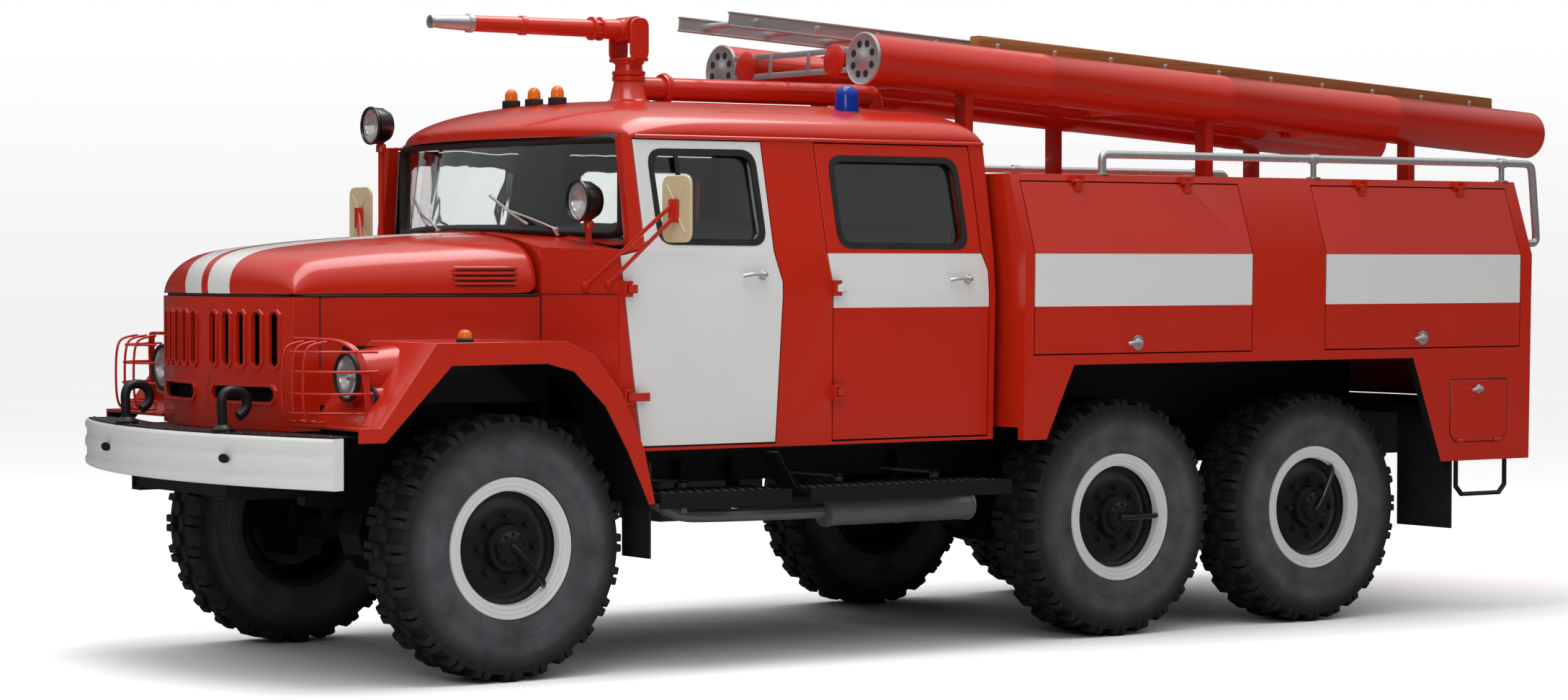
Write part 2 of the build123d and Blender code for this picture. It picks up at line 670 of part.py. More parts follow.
for row_name, outline in door_outlines.items():
    wall = side_band(cab_skin, door_thickness, 500, 2540)
    window = chamfer(outline_face(window_outlines[row_name]).vertices(), window_corner)
    door = (wall & through_side(outline_face(outline))) - through_side(window)
    glass_skin = [(x - (door_thickness - glass_thickness) / 2, height) for x, height in cab_skin]
    pane = side_band(glass_skin, glass_thickness, 500, 2540) & through_side(window)
    for lug in door_lugs[row_name]:
        door += lug
    save(f"door_{row_name}_left", door)
    save(f"glass_{row_name}_left", pane)
    save(f"door_{row_name}_right", mirrored(door))
    save(f"glass_{row_name}_right", mirrored(pane))

roof_half = 1006
roof_wall = 30
roof_shoulder = 2360
roof_crown = 2480
brow_front = 400
brow_side = 660
brow_slope = [(640, 2430), (800, roof_crown)]
roof_inner_end = cab_back - 40
roof_form = extrude(arched_section(cab_back, roof_half, cab_top, roof_shoulder, roof_crown), cab_back - brow_front)
roof_form &= side_profile([
    (brow_front, cab_top), (brow_front, 2350), *brow_slope, (cab_back, roof_crown), (cab_back, cab_top)],
    -roof_half, roof_half)
roof_form &= bowed_plan(roof_half, brow_side, brow_front, cab_back, cab_top, roof_crown)
hollow_section = arched_section(roof_inner_end, roof_half - roof_wall, cab_top - roof_wall,
                                roof_shoulder - roof_wall, roof_crown - roof_wall)
roof_hollow = extrude(hollow_section, roof_inner_end - brow_slope[0][0])
roof_hollow &= side_profile([
    (brow_slope[0][0], cab_top - roof_wall), *[(place, height - roof_wall) for place, height in brow_slope],
    (roof_inner_end, roof_crown - roof_wall), (roof_inner_end, cab_top - roof_wall)], -roof_half, roof_half)
roof = roof_form - roof_hollow
save("cab_roof", roof)

screen_half = 925
screen_side = 640
screen_low_front = 370
screen_high_front = 470


def screen_face(front, height):
    """A bowed strip of glass in plan at one height, in chords."""
    outer = chords(screen_half, screen_side, front)
    inner = [(x, distance + glass_thickness) for x, distance in reversed(outer)]
    outline = [(x, along(distance)) for x, distance in outer + inner]
    return Plane.XY.offset(height) * make_face(Polyline(*outline, close=True))


windscreen = loft([screen_face(screen_low_front, cowl_crown), screen_face(screen_high_front, cab_top)], ruled=True)
save("windscreen", windscreen)

# Cab fittings: a dashboard with the steering wheel, and two bench seats.
dashboard = block(-1000, 1000, 700, 790, 1500, 1800) + block(-1000, 1000, 560, 700, 1700, 1815)
steering_wheel_place = Plane(origin=point(480, 930, 1640), x_dir=(1, 0, 0), z_dir=(0, 0.55, 0.83))
steering_wheel = extrude(RegularPolygon(225, 16) - RegularPolygon(200, 16), 25)
steering_wheel += extrude(Rectangle(420, 40) + Rectangle(40, 420), 16)
dashboard += steering_wheel_place * steering_wheel
dashboard += bar((480, 930, 1640), (480, 745, 1560), 28)
save("dashboard", dashboard)
seat_outline = [(0, 0), (0, 330), (-20, 420), (420, 400), (500, 900), (580, 890), (520, 330), (520, 0)]
seats = []
for start, half_width in ((930, 940), (1900, 940)):
    seat = [(start + distance, floor_top + height) for distance, height in seat_outline]
    seats.append(side_profile(seat, -half_width, half_width))
save("seats", *seats)

# Rear body: side walls with lid openings, end walls, deck, and the tank that the lockers stand against.
body_front = 2601
body_rear = 5898
lid_low = 1331
lid_high = 2112
deck_thickness = 38
body_top = lid_high + deck_thickness
body_wall = 40
body_low_front = 944
body_skin = [(1235, 700), (1250, belt), (1130, body_top)]
arch_top = 1280
side_outline = [
    (body_front, body_low_front), (2737, body_low_front), (2896, arch_top), (5070, arch_top), (5274, body_low_rear),
    (body_rear, body_low_rear), (body_rear, body_top), (body_front, body_top),
]
lid_spans = {"front": (2660, 3992), "rear": (4476, 5815)}
lid_thickness = 30
body_side = side_band(body_skin, body_wall, body_front, body_rear)
body_side &= through_side(outline_face(side_outline), 1000, 1300)
for start, end in lid_spans.values():
    body_side -= block(1000, 1300, start - door_gap, end + door_gap, lid_low - door_gap, lid_high + door_gap)


def body_x(height):
    """The x of the body's outer skin at a height."""
    for (x_low, low), (x_high, high) in zip(body_skin, body_skin[1:]):
        if low <= height <= high:
            return x_low + (x_high - x_low) * (height - low) / (high - low)


lid_skin = [(body_x(lid_low), lid_low), (body_x(belt), belt), (body_x(lid_high), lid_high)]
lid_axis_x = body_x(lid_high) + 12
lid_axis_height = lid_high + 4
lid_hinge_inset = 330
lid_pin_radius = 6
lid_barrel_radius = 10
lid_arm_inner = lid_axis_x - 30
lid_arm_outer = lid_axis_x + 8
lid_arm_drop = 45


def lid_axis(start, end):
    """The two ends of a stretch of a lid's hinge axis."""
    return (lid_axis_x, start, lid_axis_height), (lid_axis_x, end, lid_axis_height)


for row_name, (start, end) in lid_spans.items():
    lid = side_band(lid_skin, lid_thickness, start, end)
    for middle, make_pin in zip((start + lid_hinge_inset, end - lid_hinge_inset), pin_makers):
        lug_span = (middle - hinge_lug / 2, middle + hinge_lug / 2)
        pin_span = (lug_span[0] - hinge_play - hinge_plate, lug_span[1] + hinge_play + hinge_plate)
        lug = bar(*lid_axis(*lug_span), lid_barrel_radius)
        lug += block(lid_arm_inner, lid_arm_outer, *lug_span, lid_axis_height - lid_arm_drop, lid_axis_height - 5)
        lid += lug - bore(*lid_axis(*lug_span), lid_pin_radius)
        body_side += make_pin(*lid_axis(*pin_span), lid_pin_radius)
        for low in (pin_span[0], pin_span[1] - hinge_plate):
            high = low + hinge_plate
            body_side += bar(*lid_axis(low, high), lid_barrel_radius)
            body_side += block(lid_arm_inner, lid_arm_outer, low, high, lid_high + door_gap, lid_axis_height + 30)
    save(f"lid_{row_name}_left", lid)
    save(f"lid_{row_name}_right", mirrored(lid))
save("body_sides", *both_sides(body_side))

deck_bottom = lid_high


def skin_x(height):
    """The x of the body's inner skin at a height."""
    return body_x(height) - body_wall


pump_floor = 1000
wall_half = [(skin_x(pump_floor), pump_floor), (skin_x(belt), belt), (skin_x(deck_bottom), deck_bottom)]
wall_outline = wall_half + [(-x, height) for x, height in reversed(wall_half)]
front_wall = cross_profile(wall_outline, body_front, body_front + body_wall)
rear_wall = cross_profile(wall_outline, body_rear - body_wall, body_rear)
rear_opening_half = 1040
rear_opening_low = 1060
rear_opening_high = 2050
rear_wall -= block(-rear_opening_half, rear_opening_half, body_rear - 100, body_rear + 100,
                   rear_opening_low, rear_opening_high)
rear_leaf = block(running_gap / 2, rear_opening_half - door_gap, body_rear - body_wall, body_rear,
                  rear_opening_low + door_gap, rear_opening_high - door_gap)
rear_axis_x = rear_opening_half + 6
rear_axis = body_rear + 18
for height, make_pin in zip((rear_opening_high - 150, rear_opening_low + 150), pin_makers):
    fixed, swing = upright_hinge(
        rear_axis_x, rear_axis, height, (rear_axis_x, rear_axis_x + 45, body_rear, rear_axis + 13),
        (rear_axis_x - 60, rear_axis_x, body_rear, rear_axis + 13), make_pin)
    rear_wall += fixed + mirrored(fixed)
    rear_leaf += swing
save("body_ends", front_wall, rear_wall)
save("rear_door_left", rear_leaf)
save("rear_door_right", mirrored(rear_leaf))

deck_half = skin_x(body_top)
body_deck = cross_profile([
    (-skin_x(deck_bottom), deck_bottom), (skin_x(deck_bottom), deck_bottom), (deck_half, body_top),
    (-deck_half, body_top),
], body_front, body_rear)
save("body_deck", body_deck)

tank_half = 640
tank_end = 5250
inner_start = body_front + body_wall
inner_end = body_rear - body_wall
tank = block(-tank_half, tank_half, inner_start, tank_end, rail_top, deck_bottom - 20)
locker_floor = cross_profile([
    (-skin_x(1290), 1290), (skin_x(1290), 1290), (skin_x(1320), 1320), (-skin_x(1320), 1320)],
    inner_start, tank_end)
partition = block(-1190, 1190, 4214, 4254, 1320, deck_bottom - 20) & cross_profile(wall_outline, 4000, 4500)
pump_bay_floor = cross_profile([
    (-skin_x(1000), 1000), (skin_x(1000), 1000), (skin_x(1030), 1030), (-skin_x(1030), 1030)], tank_end, inner_end)
save("body_core", tank + locker_floor + partition + pump_bay_floor)

# Mud flaps behind the front wings and behind the last axle.
flaps = []
flaps += both_sides(block(912, 1120, 642, 652, 490, 900))
flaps += both_sides(block(830, 1185, 5395, 5407, 430, 1000))
save("mud_flaps", *flaps)

# Roof stowage: hose tubes on their racks, the ladders and the hand rails.
tube_x = 562
tube_radius = 122
tube_start = 2215
tube_front_height = 2680
tube_rear_height = 2415
inner_tube_x = 350
inner_tube_radius = 78
tube_drop = (tube_front_height - tube_rear_height) / (rear_overhang_end - tube_start)
tube_end = rear_overhang_end - tube_radius * tube_drop


def tube_height(distance):
    """The height of the tubes' middle line at a distance."""
    return tube_front_height - tube_drop * (distance - tube_start)


def sloped_bar(x_from, x_to, start, end, low, high):
    """A bar that runs along the tubes' slope between two heights above their middle line."""
    return side_profile([
        (start, tube_height(start) + low), (end, tube_height(end) + low), (end, tube_height(end) + high),
        (start, tube_height(start) + high)], x_from, x_to)


tubes = bar((tube_x, tube_start, tube_height(tube_start)), (tube_x, tube_end, tube_height(tube_end)), tube_radius)
tubes += bar((inner_tube_x, tube_start, tube_height(tube_start)), (inner_tube_x, 6300, tube_height(6300)),
             inner_tube_radius)
tubes += mirrored(tubes)
ladder_seat = 120
for distance in (2780, 4300, 5700):
    tubes += sloped_bar(-tube_x, tube_x, distance, distance + 50, -60, ladder_seat)
    post = block(tube_x - 40, tube_x + 40, distance, distance + 50, body_top, tube_height(distance))
    tubes += post + mirrored(post)
save("hose_tubes", tubes)

ladder_start = 1700
ladder_end = 6100
ladder_half = 215
ladder_height = 72
ladder = sloped_bar(ladder_half - 28, ladder_half, ladder_start, ladder_end, ladder_seat, ladder_seat + ladder_height)
ladder += mirrored(ladder)
rung_pitch = 355
rung_count = 12
for index in range(rung_count):
    distance = ladder_start + 150 + index * rung_pitch
    height = tube_height(distance) + ladder_seat + ladder_height / 2
    ladder += bar((-ladder_half + 14, distance, height), (ladder_half - 14, distance, height), 16)
wooden = sloped_bar(270, 345, 3060, 6620, ladder_seat, ladder_seat + 85)
save("ladders", ladder, wooden)

rail_x = 1105
rail_height = 2245
rail_radius = 20
rail_post_radius = 15
roof_rail = bent_tube([
    (rail_x, 3180, body_top), (rail_x, 3180, rail_height), (rail_x, 6050, rail_height), (rail_x, 6090, 1843),
    (rail_x, body_rear, 1843)], 60, rail_radius)
for distance in (4528, 5834):
    roof_rail += bar((rail_x, distance, body_top), (rail_x, distance, rail_height), rail_post_radius)
save("roof_rails", *both_sides(roof_rail))

# Monitor: a fixed riser with its pipe, a turret that turns and a barrel that lifts.
monitor_place = 1290
riser_top = 2600
riser_radius = 75
spigot_radius = 45
spigot_top = riser_top + 40
barrel_height = riser_top + 210
pipe_height = 2545
pipe_radius = 55
pipe_end = 2700
pipe_bend = 120
riser = bar((0, monitor_place, 2470), (0, monitor_place, riser_top), riser_radius)
riser += pin((0, monitor_place, riser_top), (0, monitor_place, spigot_top), spigot_radius)
riser += bent_tube([
    (0, monitor_place, pipe_height), (0, pipe_end, pipe_height), (0, pipe_end, body_top)], pipe_bend, pipe_radius)
riser -= roof_form
save("monitor_riser", riser)
turret_low = riser_top + running_gap
cheek_inner = 76
cheek_outer = 96
trunnion_radius = 22
turret_top = turret_low + 60
fork_top = turret_top + 20
fork_half_length = 50
turret = bar((0, monitor_place, turret_low), (0, monitor_place, turret_top), riser_radius)
turret += block(-cheek_outer, cheek_outer, monitor_place - fork_half_length, monitor_place + fork_half_length,
                turret_top, fork_top)
turret -= bore((0, monitor_place, turret_low), (0, monitor_place, spigot_top + running_gap), spigot_radius)
cheek = block(cheek_inner, cheek_outer, monitor_place - fork_half_length, monitor_place + fork_half_length,
              turret_top, barrel_height + 55)
cheek -= bore((cheek_inner, monitor_place, barrel_height), (cheek_outer, monitor_place, barrel_height),
              trunnion_radius)
save("monitor_turret", turret + cheek + mirrored(cheek))
barrel_rows = [
    # start, end, radius, end radius
    (monitor_place + 70, 1080, 55, None), (1080, 440, 42, None), (440, 229, 36, 22),
]
boss_half_width = cheek_inner - 8
barrel = pin((-cheek_outer, monitor_place, barrel_height), (cheek_outer, monitor_place, barrel_height),
             trunnion_radius)
barrel += bar((-boss_half_width, monitor_place, barrel_height), (boss_half_width, monitor_place, barrel_height), 62)
for start, end, radius, end_radius in barrel_rows:
    barrel += bar((0, start, barrel_height), (0, end, barrel_height), radius, end_radius)
save("monitor_barrel", barrel)

# Lamps: headlamps in nacelles, spot lamps on posts, amber markers and blue beacons.
lamps = []
headlamp_x = 842
headlamp_height = 1276
headlamp_face = -664
headlamp_radius = 92
nacelle = bar((headlamp_x, headlamp_face, headlamp_height), (headlamp_x, -380, headlamp_height), headlamp_radius, 135)
lamps += both_sides(nacelle - side_profile(wing_upper + [(642, 400), (-790, 400)], wing_inner, wing_outer))
for x in (-194, 0, 194):
    lamps.append(block(x - 32, x + 32, 745, 807, 2400, 2535) - roof_form)
for x in (-745, 745):
    lamps.append(bar((x, 1975, 2350), (x, 1975, 2545), 62) - roof_form)
for x in (-1090, 1090):
    lamps.append(bar((x, -250, 1418), (x, -250, 1470), 32))
spot_radius = 88
# Spot lamps: x, distance and height of the lamp, which stands on a post from the cowl.
for x, distance, height in ((900, 480, 2005), (-850, 470, 2382)):
    spot = bar((x, distance - 60, height), (x, distance + 60, height), spot_radius)
    lamps.append(spot + bar((x, distance, 1700), (x, distance, height), 20) - cowl - cowl_form)
save("lamps", *lamps)

# Mirrors on bent arms that stand ahead of the opened doors.
mirror_place = 640
mirror_unit = block(1230, 1440, mirror_place - 12, mirror_place + 12, 1828, 2110)
arm_x = 1330
arm_place = mirror_place - 16
mirror_unit += bent_tube([
    (960, 440, 1640), (1200, 470, 1700), (arm_x, arm_place, 1800), (arm_x, arm_place, 2060)], 40, 14)
mirror_unit -= cowl_form
save("mirrors", *both_sides(mirror_unit))
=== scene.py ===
import json
import math

import bmesh
import bpy
from mathutils import Matrix, Vector


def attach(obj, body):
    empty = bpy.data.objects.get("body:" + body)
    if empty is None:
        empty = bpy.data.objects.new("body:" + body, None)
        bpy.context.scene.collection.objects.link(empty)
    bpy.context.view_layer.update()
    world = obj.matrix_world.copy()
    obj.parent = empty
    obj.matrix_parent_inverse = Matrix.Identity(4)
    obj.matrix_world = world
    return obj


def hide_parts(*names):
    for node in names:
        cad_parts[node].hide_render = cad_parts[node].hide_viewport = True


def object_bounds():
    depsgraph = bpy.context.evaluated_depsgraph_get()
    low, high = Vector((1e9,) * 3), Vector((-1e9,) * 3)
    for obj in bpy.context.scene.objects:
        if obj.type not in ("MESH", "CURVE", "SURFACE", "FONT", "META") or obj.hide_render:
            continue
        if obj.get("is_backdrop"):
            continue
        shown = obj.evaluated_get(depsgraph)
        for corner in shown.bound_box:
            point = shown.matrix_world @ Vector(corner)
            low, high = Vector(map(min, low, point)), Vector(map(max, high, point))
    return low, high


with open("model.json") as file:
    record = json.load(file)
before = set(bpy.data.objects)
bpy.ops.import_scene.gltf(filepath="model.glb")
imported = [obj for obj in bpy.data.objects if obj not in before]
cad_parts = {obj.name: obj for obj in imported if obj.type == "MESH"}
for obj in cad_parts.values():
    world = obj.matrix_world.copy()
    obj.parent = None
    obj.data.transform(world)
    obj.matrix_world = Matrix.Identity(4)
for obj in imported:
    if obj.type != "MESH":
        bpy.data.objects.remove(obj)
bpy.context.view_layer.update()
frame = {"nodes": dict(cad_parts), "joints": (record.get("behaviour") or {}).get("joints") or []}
scene = bpy.context.scene
joint_at = {joint["name"]: Vector(joint["pos_m"]) for joint in frame["joints"]}
front_axle_y = joint_at["spin_front_left"].y

# The photographer's place: a long shifted lens off the left front corner, at about the height of the bonnet.
# Places are given as millimetres left of the middle, behind the front axle and above the ground, as a body
# builder measures a lorry.
IMAGE_WIDTH = 2177
FOCAL_PIXELS = 4864.85
AXIS_LEFT_OF_MIDDLE = 300
CAMERA_PLACE = (13357.75, -7689.98, 1735.5)
CAMERA_LOOK = Vector((-0.8392, 0.5433, -0.02436))


def at(left, behind, height):
    """A point of the engine in metres."""
    return Vector((left / 1000, front_axle_y + behind / 1000, height / 1000))


camera_data = bpy.data.cameras.new("camera")
camera_data.sensor_width = 36
camera_data.lens = FOCAL_PIXELS * camera_data.sensor_width / IMAGE_WIDTH
camera_data.shift_x = AXIS_LEFT_OF_MIDDLE / IMAGE_WIDTH
camera_data.clip_end = 300
camera = bpy.data.objects.new("camera", camera_data)
camera.location = at(*CAMERA_PLACE)
camera.rotation_mode = "QUATERNION"
camera.rotation_quaternion = CAMERA_LOOK.to_track_quat("-Z", "Y")
scene.collection.objects.link(camera)
scene.camera = camera
scene.view_settings.view_transform = "Standard"

# A white studio: a pale floor under a soft ceiling, which fades towards the horizon so that upright panels
# keep their deep colour. Past the floor the camera sees plain white. In reflections the floor is flagged off
# to a grey, as black cards do in a studio, and to the camera it is lifted to paper white.
FLOOR_HALF = 150
CEILING = 0.9
HORIZON = 0.05
FLAGGED = "#5E5E5E"
PAPER_GAIN = 1.4


def linear(code):
    """An sRGB hex colour as linear red, green, blue and alpha."""
    shades = [int(code[index:index + 2], 16) / 255 for index in (1, 3, 5)]
    return tuple(c / 12.92 if c <= 0.04045 else ((c + 0.055) / 1.055) ** 2.4 for c in shades) + (1.0,)


def add_node(tree, kind, settings):
    """Adds a shader node. A key that names an input takes a value or a link, any other key is a property."""
    node = tree.nodes.new("ShaderNode" + kind)
    for key, value in settings.items():
        if isinstance(key, str) and key not in node.inputs:
            setattr(node, key, value)
        elif isinstance(value, bpy.types.NodeSocket):
            tree.links.new(value, node.inputs[key])
        else:
            node.inputs[key].default_value = value
    return node


def start_material(name):
    """An empty node material, with its tree and its object coordinates."""
    material = bpy.data.materials.new(name)
    material.use_nodes = True
    material.node_tree.nodes.clear()
    where = add_node(material.node_tree, "TexCoord", {}).outputs["Object"]
    return material, material.node_tree, where


def end_material(material, shader):
    """Joins a shader to a material's output."""
    add_node(material.node_tree, "OutputMaterial", {"Surface": shader.outputs[0]})
    return material


floor_paint, tree, where = start_material("floor_matte_white_paint")
grain = add_node(tree, "TexNoise", {"Vector": where, "Scale": 0.4})
shade = add_node(tree, "ValToRGB", {"Fac": grain.outputs["Fac"]})
shade.color_ramp.elements[0].color = linear("#F4F4F4")
shade.color_ramp.elements[1].color = linear("#FAFAFA")
path = add_node(tree, "LightPath", {})
flagged = add_node(tree, "Mix", {
    "data_type": "RGBA", 0: path.outputs["Is Glossy Ray"], 6: shade.outputs["Color"], 7: linear(FLAGGED)})
gain = add_node(tree, "MapRange", {
    "Value": path.outputs["Is Camera Ray"], "To Min": 1.0, "To Max": PAPER_GAIN})
paper = add_node(tree, "VectorMath", {
    "operation": "SCALE", 0: flagged.outputs[2], "Scale": gain.outputs[0]})
end_material(floor_paint, add_node(tree, "BsdfDiffuse", {"Color": paper.outputs[0]}))
bm = bmesh.new()
bmesh.ops.create_grid(bm, x_segments=1, y_segments=1, size=FLOOR_HALF)
floor_mesh = bpy.data.meshes.new("floor")
bm.to_mesh(floor_mesh)
bm.free()
floor_mesh.materials.append(floor_paint)
floor = bpy.data.objects.new("floor", floor_mesh)
scene.collection.objects.link(floor)
floor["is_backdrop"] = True

world = bpy.data.worlds.new("studio")
world.use_nodes = True
tree = world.node_tree
tree.nodes.clear()
direction = add_node(tree, "TexCoord", {})
split = add_node(tree, "SeparateXYZ", {0: direction.outputs["Generated"]})
sky = add_node(tree, "MapRange", {
    "Value": split.outputs["Z"], "From Min": 0.22, "From Max": 0.75, "To Min": HORIZON, "To Max": CEILING})
seen = add_node(tree, "LightPath", {})
shown = add_node(tree, "Math", {
    "operation": "MAXIMUM", 0: seen.outputs["Is Camera Ray"], 1: seen.outputs["Is Transmission Ray"]})
backdrop = add_node(tree, "MapRange", {
    "Value": split.outputs["Z"], "From Min": 0.0, "From Max": 0.06, "To Min": 0.9, "To Max": 1.0})
strength = add_node(tree, "Mix", {
    "data_type": "FLOAT", 0: shown.outputs[0], 2: sky.outputs[0], 3: backdrop.outputs[0]})
background = add_node(tree, "Background", {"Color": (1, 1, 1, 1), "Strength": strength.outputs[0]})
add_node(tree, "OutputWorld", {"Surface": background.outputs[0]})
scene.world = world
for name, place, aim, width, length, watts in (
        ("overhead_box", at(300, 1500, 8500), at(0, 1900, 1000), 4, 11, 560),
        ("corner_box", at(9000, -7000, 5500), at(0, 1500, 1200), 5, 3, 130)):
    lamp = bpy.data.lights.new(name, "AREA")
    lamp.shape = "RECTANGLE"
    lamp.size = width
    lamp.size_y = length
    lamp.energy = watts
    box_light = bpy.data.objects.new(name, lamp)
    box_light.location = place
    box_light.rotation_mode = "QUATERNION"
    box_light.rotation_quaternion = (aim - place).to_track_quat("-Z", "Y")
    scene.collection.objects.link(box_light)

# Frame, axles, springs and drivetrain: welded and cast steel under black chassis paint. They keep their
# packed forms.
PEEL_MM = 7
NOSE_BOW = 0.3056


def between(tree, value, low, high):
    """One where a value lies between two limits, nought elsewhere."""
    middle, half = (low + high) / 2, (high - low) / 2
    return add_node(tree, "Math", {"operation": "COMPARE", 0: value, 1: middle, 2: half}).outputs[0]


def mixed(tree, factor, first, second):
    """Two colours mixed by a factor."""
    return add_node(tree, "Mix", {"data_type": "RGBA", 0: factor, 6: first, 7: second}).outputs[2]


def enamel(name, colour, bands=(), shade_colour=None, shade_from=-4000, roughness=0.24, gloss=0.35):
    """Sprayed enamel. A band is a colour and its limits of (axis, low mm, high mm). X is taken from the
    middle both ways, Y from the front axle, and BOW is Y less the bow of the nose."""
    material, tree, where = start_material(name)
    split = add_node(tree, "SeparateXYZ", {0: where})
    spread = add_node(tree, "TexNoise", {"Vector": where, "Scale": 1.6, "Detail": 3})
    tone = add_node(tree, "MapRange", {"Value": spread.outputs["Fac"], "To Min": 0.92, "To Max": 1.06})
    paint = add_node(tree, "VectorMath", {
        "operation": "SCALE", 0: linear(colour)[:3], "Scale": tone.outputs[0]}).outputs[0]
    across = add_node(tree, "Math", {"operation": "ABSOLUTE", 0: split.outputs["X"]}).outputs[0]
    squared = add_node(tree, "Math", {"operation": "MULTIPLY", 0: across, 1: across}).outputs[0]
    depth = add_node(tree, "Math", {
        "operation": "MULTIPLY_ADD", 0: squared, 1: -NOSE_BOW, 2: split.outputs["Y"]}).outputs[0]
    sockets = {"X": across, "Y": split.outputs["Y"], "Z": split.outputs["Z"], "BOW": depth}
    for band_colour, *limits in bands:
        mask = 1.0
        for axis, low, high in limits:
            origin = front_axle_y if axis in ("Y", "BOW") else 0
            within = between(tree, sockets[axis], origin + low / 1000, origin + high / 1000)
            mask = add_node(tree, "Math", {"operation": "MULTIPLY", 0: within, 1: mask}).outputs[0]
        paint = mixed(tree, mask, paint, linear(band_colour))
    rough = add_node(tree, "MapRange", {
        "Value": spread.outputs["Fac"], "To Min": roughness - 0.04, "To Max": roughness + 0.05}).outputs[0]
    # Painted shade: faces that look in towards the middle or look down, behind shade_from, are painted a
    # near-black shade colour and made rougher.
    if shade_colour:
        normal = add_node(tree, "TexCoord", {}).outputs["Normal"]
        facing = add_node(tree, "SeparateXYZ", {0: normal})
        inward = add_node(tree, "Math", {
            "operation": "MULTIPLY", 0: facing.outputs["X"], 1: split.outputs["X"]}).outputs[0]
        looks_in = add_node(tree, "Math", {"operation": "LESS_THAN", 0: inward, 1: -0.15}).outputs[0]
        looks_down = add_node(tree, "Math", {
            "operation": "LESS_THAN", 0: facing.outputs["Z"], 1: -0.25}).outputs[0]
        shaded_faces = add_node(tree, "Math", {"operation": "MAXIMUM", 0: looks_in, 1: looks_down}).outputs[0]
        shade_reach = add_node(tree, "Math", {
            "operation": "GREATER_THAN", 0: split.outputs["Y"], 1: at(0, shade_from, 0).y}).outputs[0]
        shaded_faces = add_node(tree, "Math", {"operation": "MULTIPLY", 0: shaded_faces, 1: shade_reach}).outputs[0]
        paint = mixed(tree, shaded_faces, paint, linear(shade_colour))
        rough = add_node(tree, "Mix", {"data_type": "FLOAT", 0: shaded_faces, 2: rough, 3: 0.6}).outputs[0]
    peel = add_node(tree, "TexNoise", {"Vector": where, "Scale": 1000 / PEEL_MM})
    bump = add_node(tree, "Bump", {"Height": peel.outputs["Fac"], "Strength": 0.012, "Distance": 0.001})
    shader = add_node(tree, "BsdfPrincipled", {
        "Base Color": paint, "Roughness": rough, "Normal": bump.outputs[0], "Coat Weight": gloss,
        "Coat Roughness": 0.05})
    return end_material(material, shader)


def paint_nodes(material, *names):
    """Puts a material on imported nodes."""
    for name in names:
        mesh = frame["nodes"][name].data
        mesh.materials.clear()
        mesh.materials.append(material)


chassis_black = enamel("black_chassis_enamel", "#131314", roughness=0.45, gloss=0.1)
engine_grey = enamel("grey_cast_iron_painted", "#3A3D3D", roughness=0.55, gloss=0.0)
tank_grey = enamel("grey_tank_enamel", "#55585A", roughness=0.45, gloss=0.1)
paint_nodes(chassis_black, "frame_rails", "front_axle", "rear_axles", "leaf_springs", "knuckle_left",
            "knuckle_right")
paint_nodes(engine_grey, "drivetrain")
paint_nodes(tank_grey, "fuel_tank")

# Tyres: moulded cross-country rubber with 24 pairs of shoulder lugs a side and staggered blocks in the
# middle, paler and dusty on the sidewalls.
SIDES = (("left", 1), ("right", -1))
OUT = Vector((1, 0, 0))
BACK = Vector((0, 1, 0))
UP = Vector((0, 0, 1))
LUG_COUNT = 24
WHEEL_ROWS = (("front", 0), ("middle", 3350), ("rear", 4600))
CARCASS = [
    # distance from the middle plane, radius
    (120, 300), (138, 301), (150, 318), (157, 350), (157, 366), (160, 369), (160, 376), (157.5, 380),
    (159, 405), (158.5, 440), (160, 444), (159, 452), (156, 458), (152, 495), (141, 525), (118, 530),
    (0, 531)]
LUG_SIDE = [(58, 524), (58, 555), (122, 556), (142, 545), (150, 518), (153, 488), (140, 482), (120, 518)]
LUG_BLADES = ((-38, -6), (6, 38))
BLOCK_OUTLINE = [(0, -27), (31, -10), (31, 10), (0, 27), (-31, 10), (-31, -10)]
BLOCK_ROW = 25
BLOCK_FOOT, BLOCK_RISE = 524, 31


def add_turned(bm, centre, axis, profile, steps=64):
    """A turned form: a profile of (distance along the axis, radius) in millimetres, spun right round."""
    turn = axis.to_track_quat("Z", "Y").to_matrix()
    verts = [bm.verts.new(centre + turn @ Vector((radius, 0, reach)) / 1000) for reach, radius in profile]
    edges = [bm.edges.new(pair) for pair in zip(verts, verts[1:])]
    bmesh.ops.spin(bm, geom=verts + edges, cent=centre, axis=axis, angle=math.tau, steps=steps,
                   use_merge=True)


def add_prism(bm, outline, run, edge=0.0):
    """A closed prism on an outline of points, drawn out along a run, with its edges rounded."""
    base = bm.faces.new([bm.verts.new(place) for place in outline])
    drawn = bmesh.ops.extrude_face_region(bm, geom=[base])["geom"]
    corners = [item for item in drawn if isinstance(item, bmesh.types.BMVert)]
    bmesh.ops.translate(bm, vec=run, verts=corners)
    if edge:
        faces = {face for corner in corners for face in corner.link_faces} | {base}
        edges = {item for face in faces for item in face.edges}
        bmesh.ops.bevel(bm, geom=list(edges), offset=edge, affect="EDGES", segments=1, profile=0.5,
                        material=-1)


def piece(name, bm, material, body, smooth=35):
    """Ends a piece: doubles merged, faces turned outwards, put in its own mesh and set to ride on a body."""
    bmesh.ops.remove_doubles(bm, verts=bm.verts, dist=0.00003)
    bmesh.ops.recalc_face_normals(bm, faces=bm.faces)
    mesh = bpy.data.meshes.new(name)
    bm.to_mesh(mesh)
    bm.free()
    mesh.materials.append(material)
    mesh.shade_smooth()
    mesh.set_sharp_from_angle(angle=math.radians(smooth))
    made = bpy.data.objects.new(name, mesh)
    scene.collection.objects.link(made)
    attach(made, body)
    return made


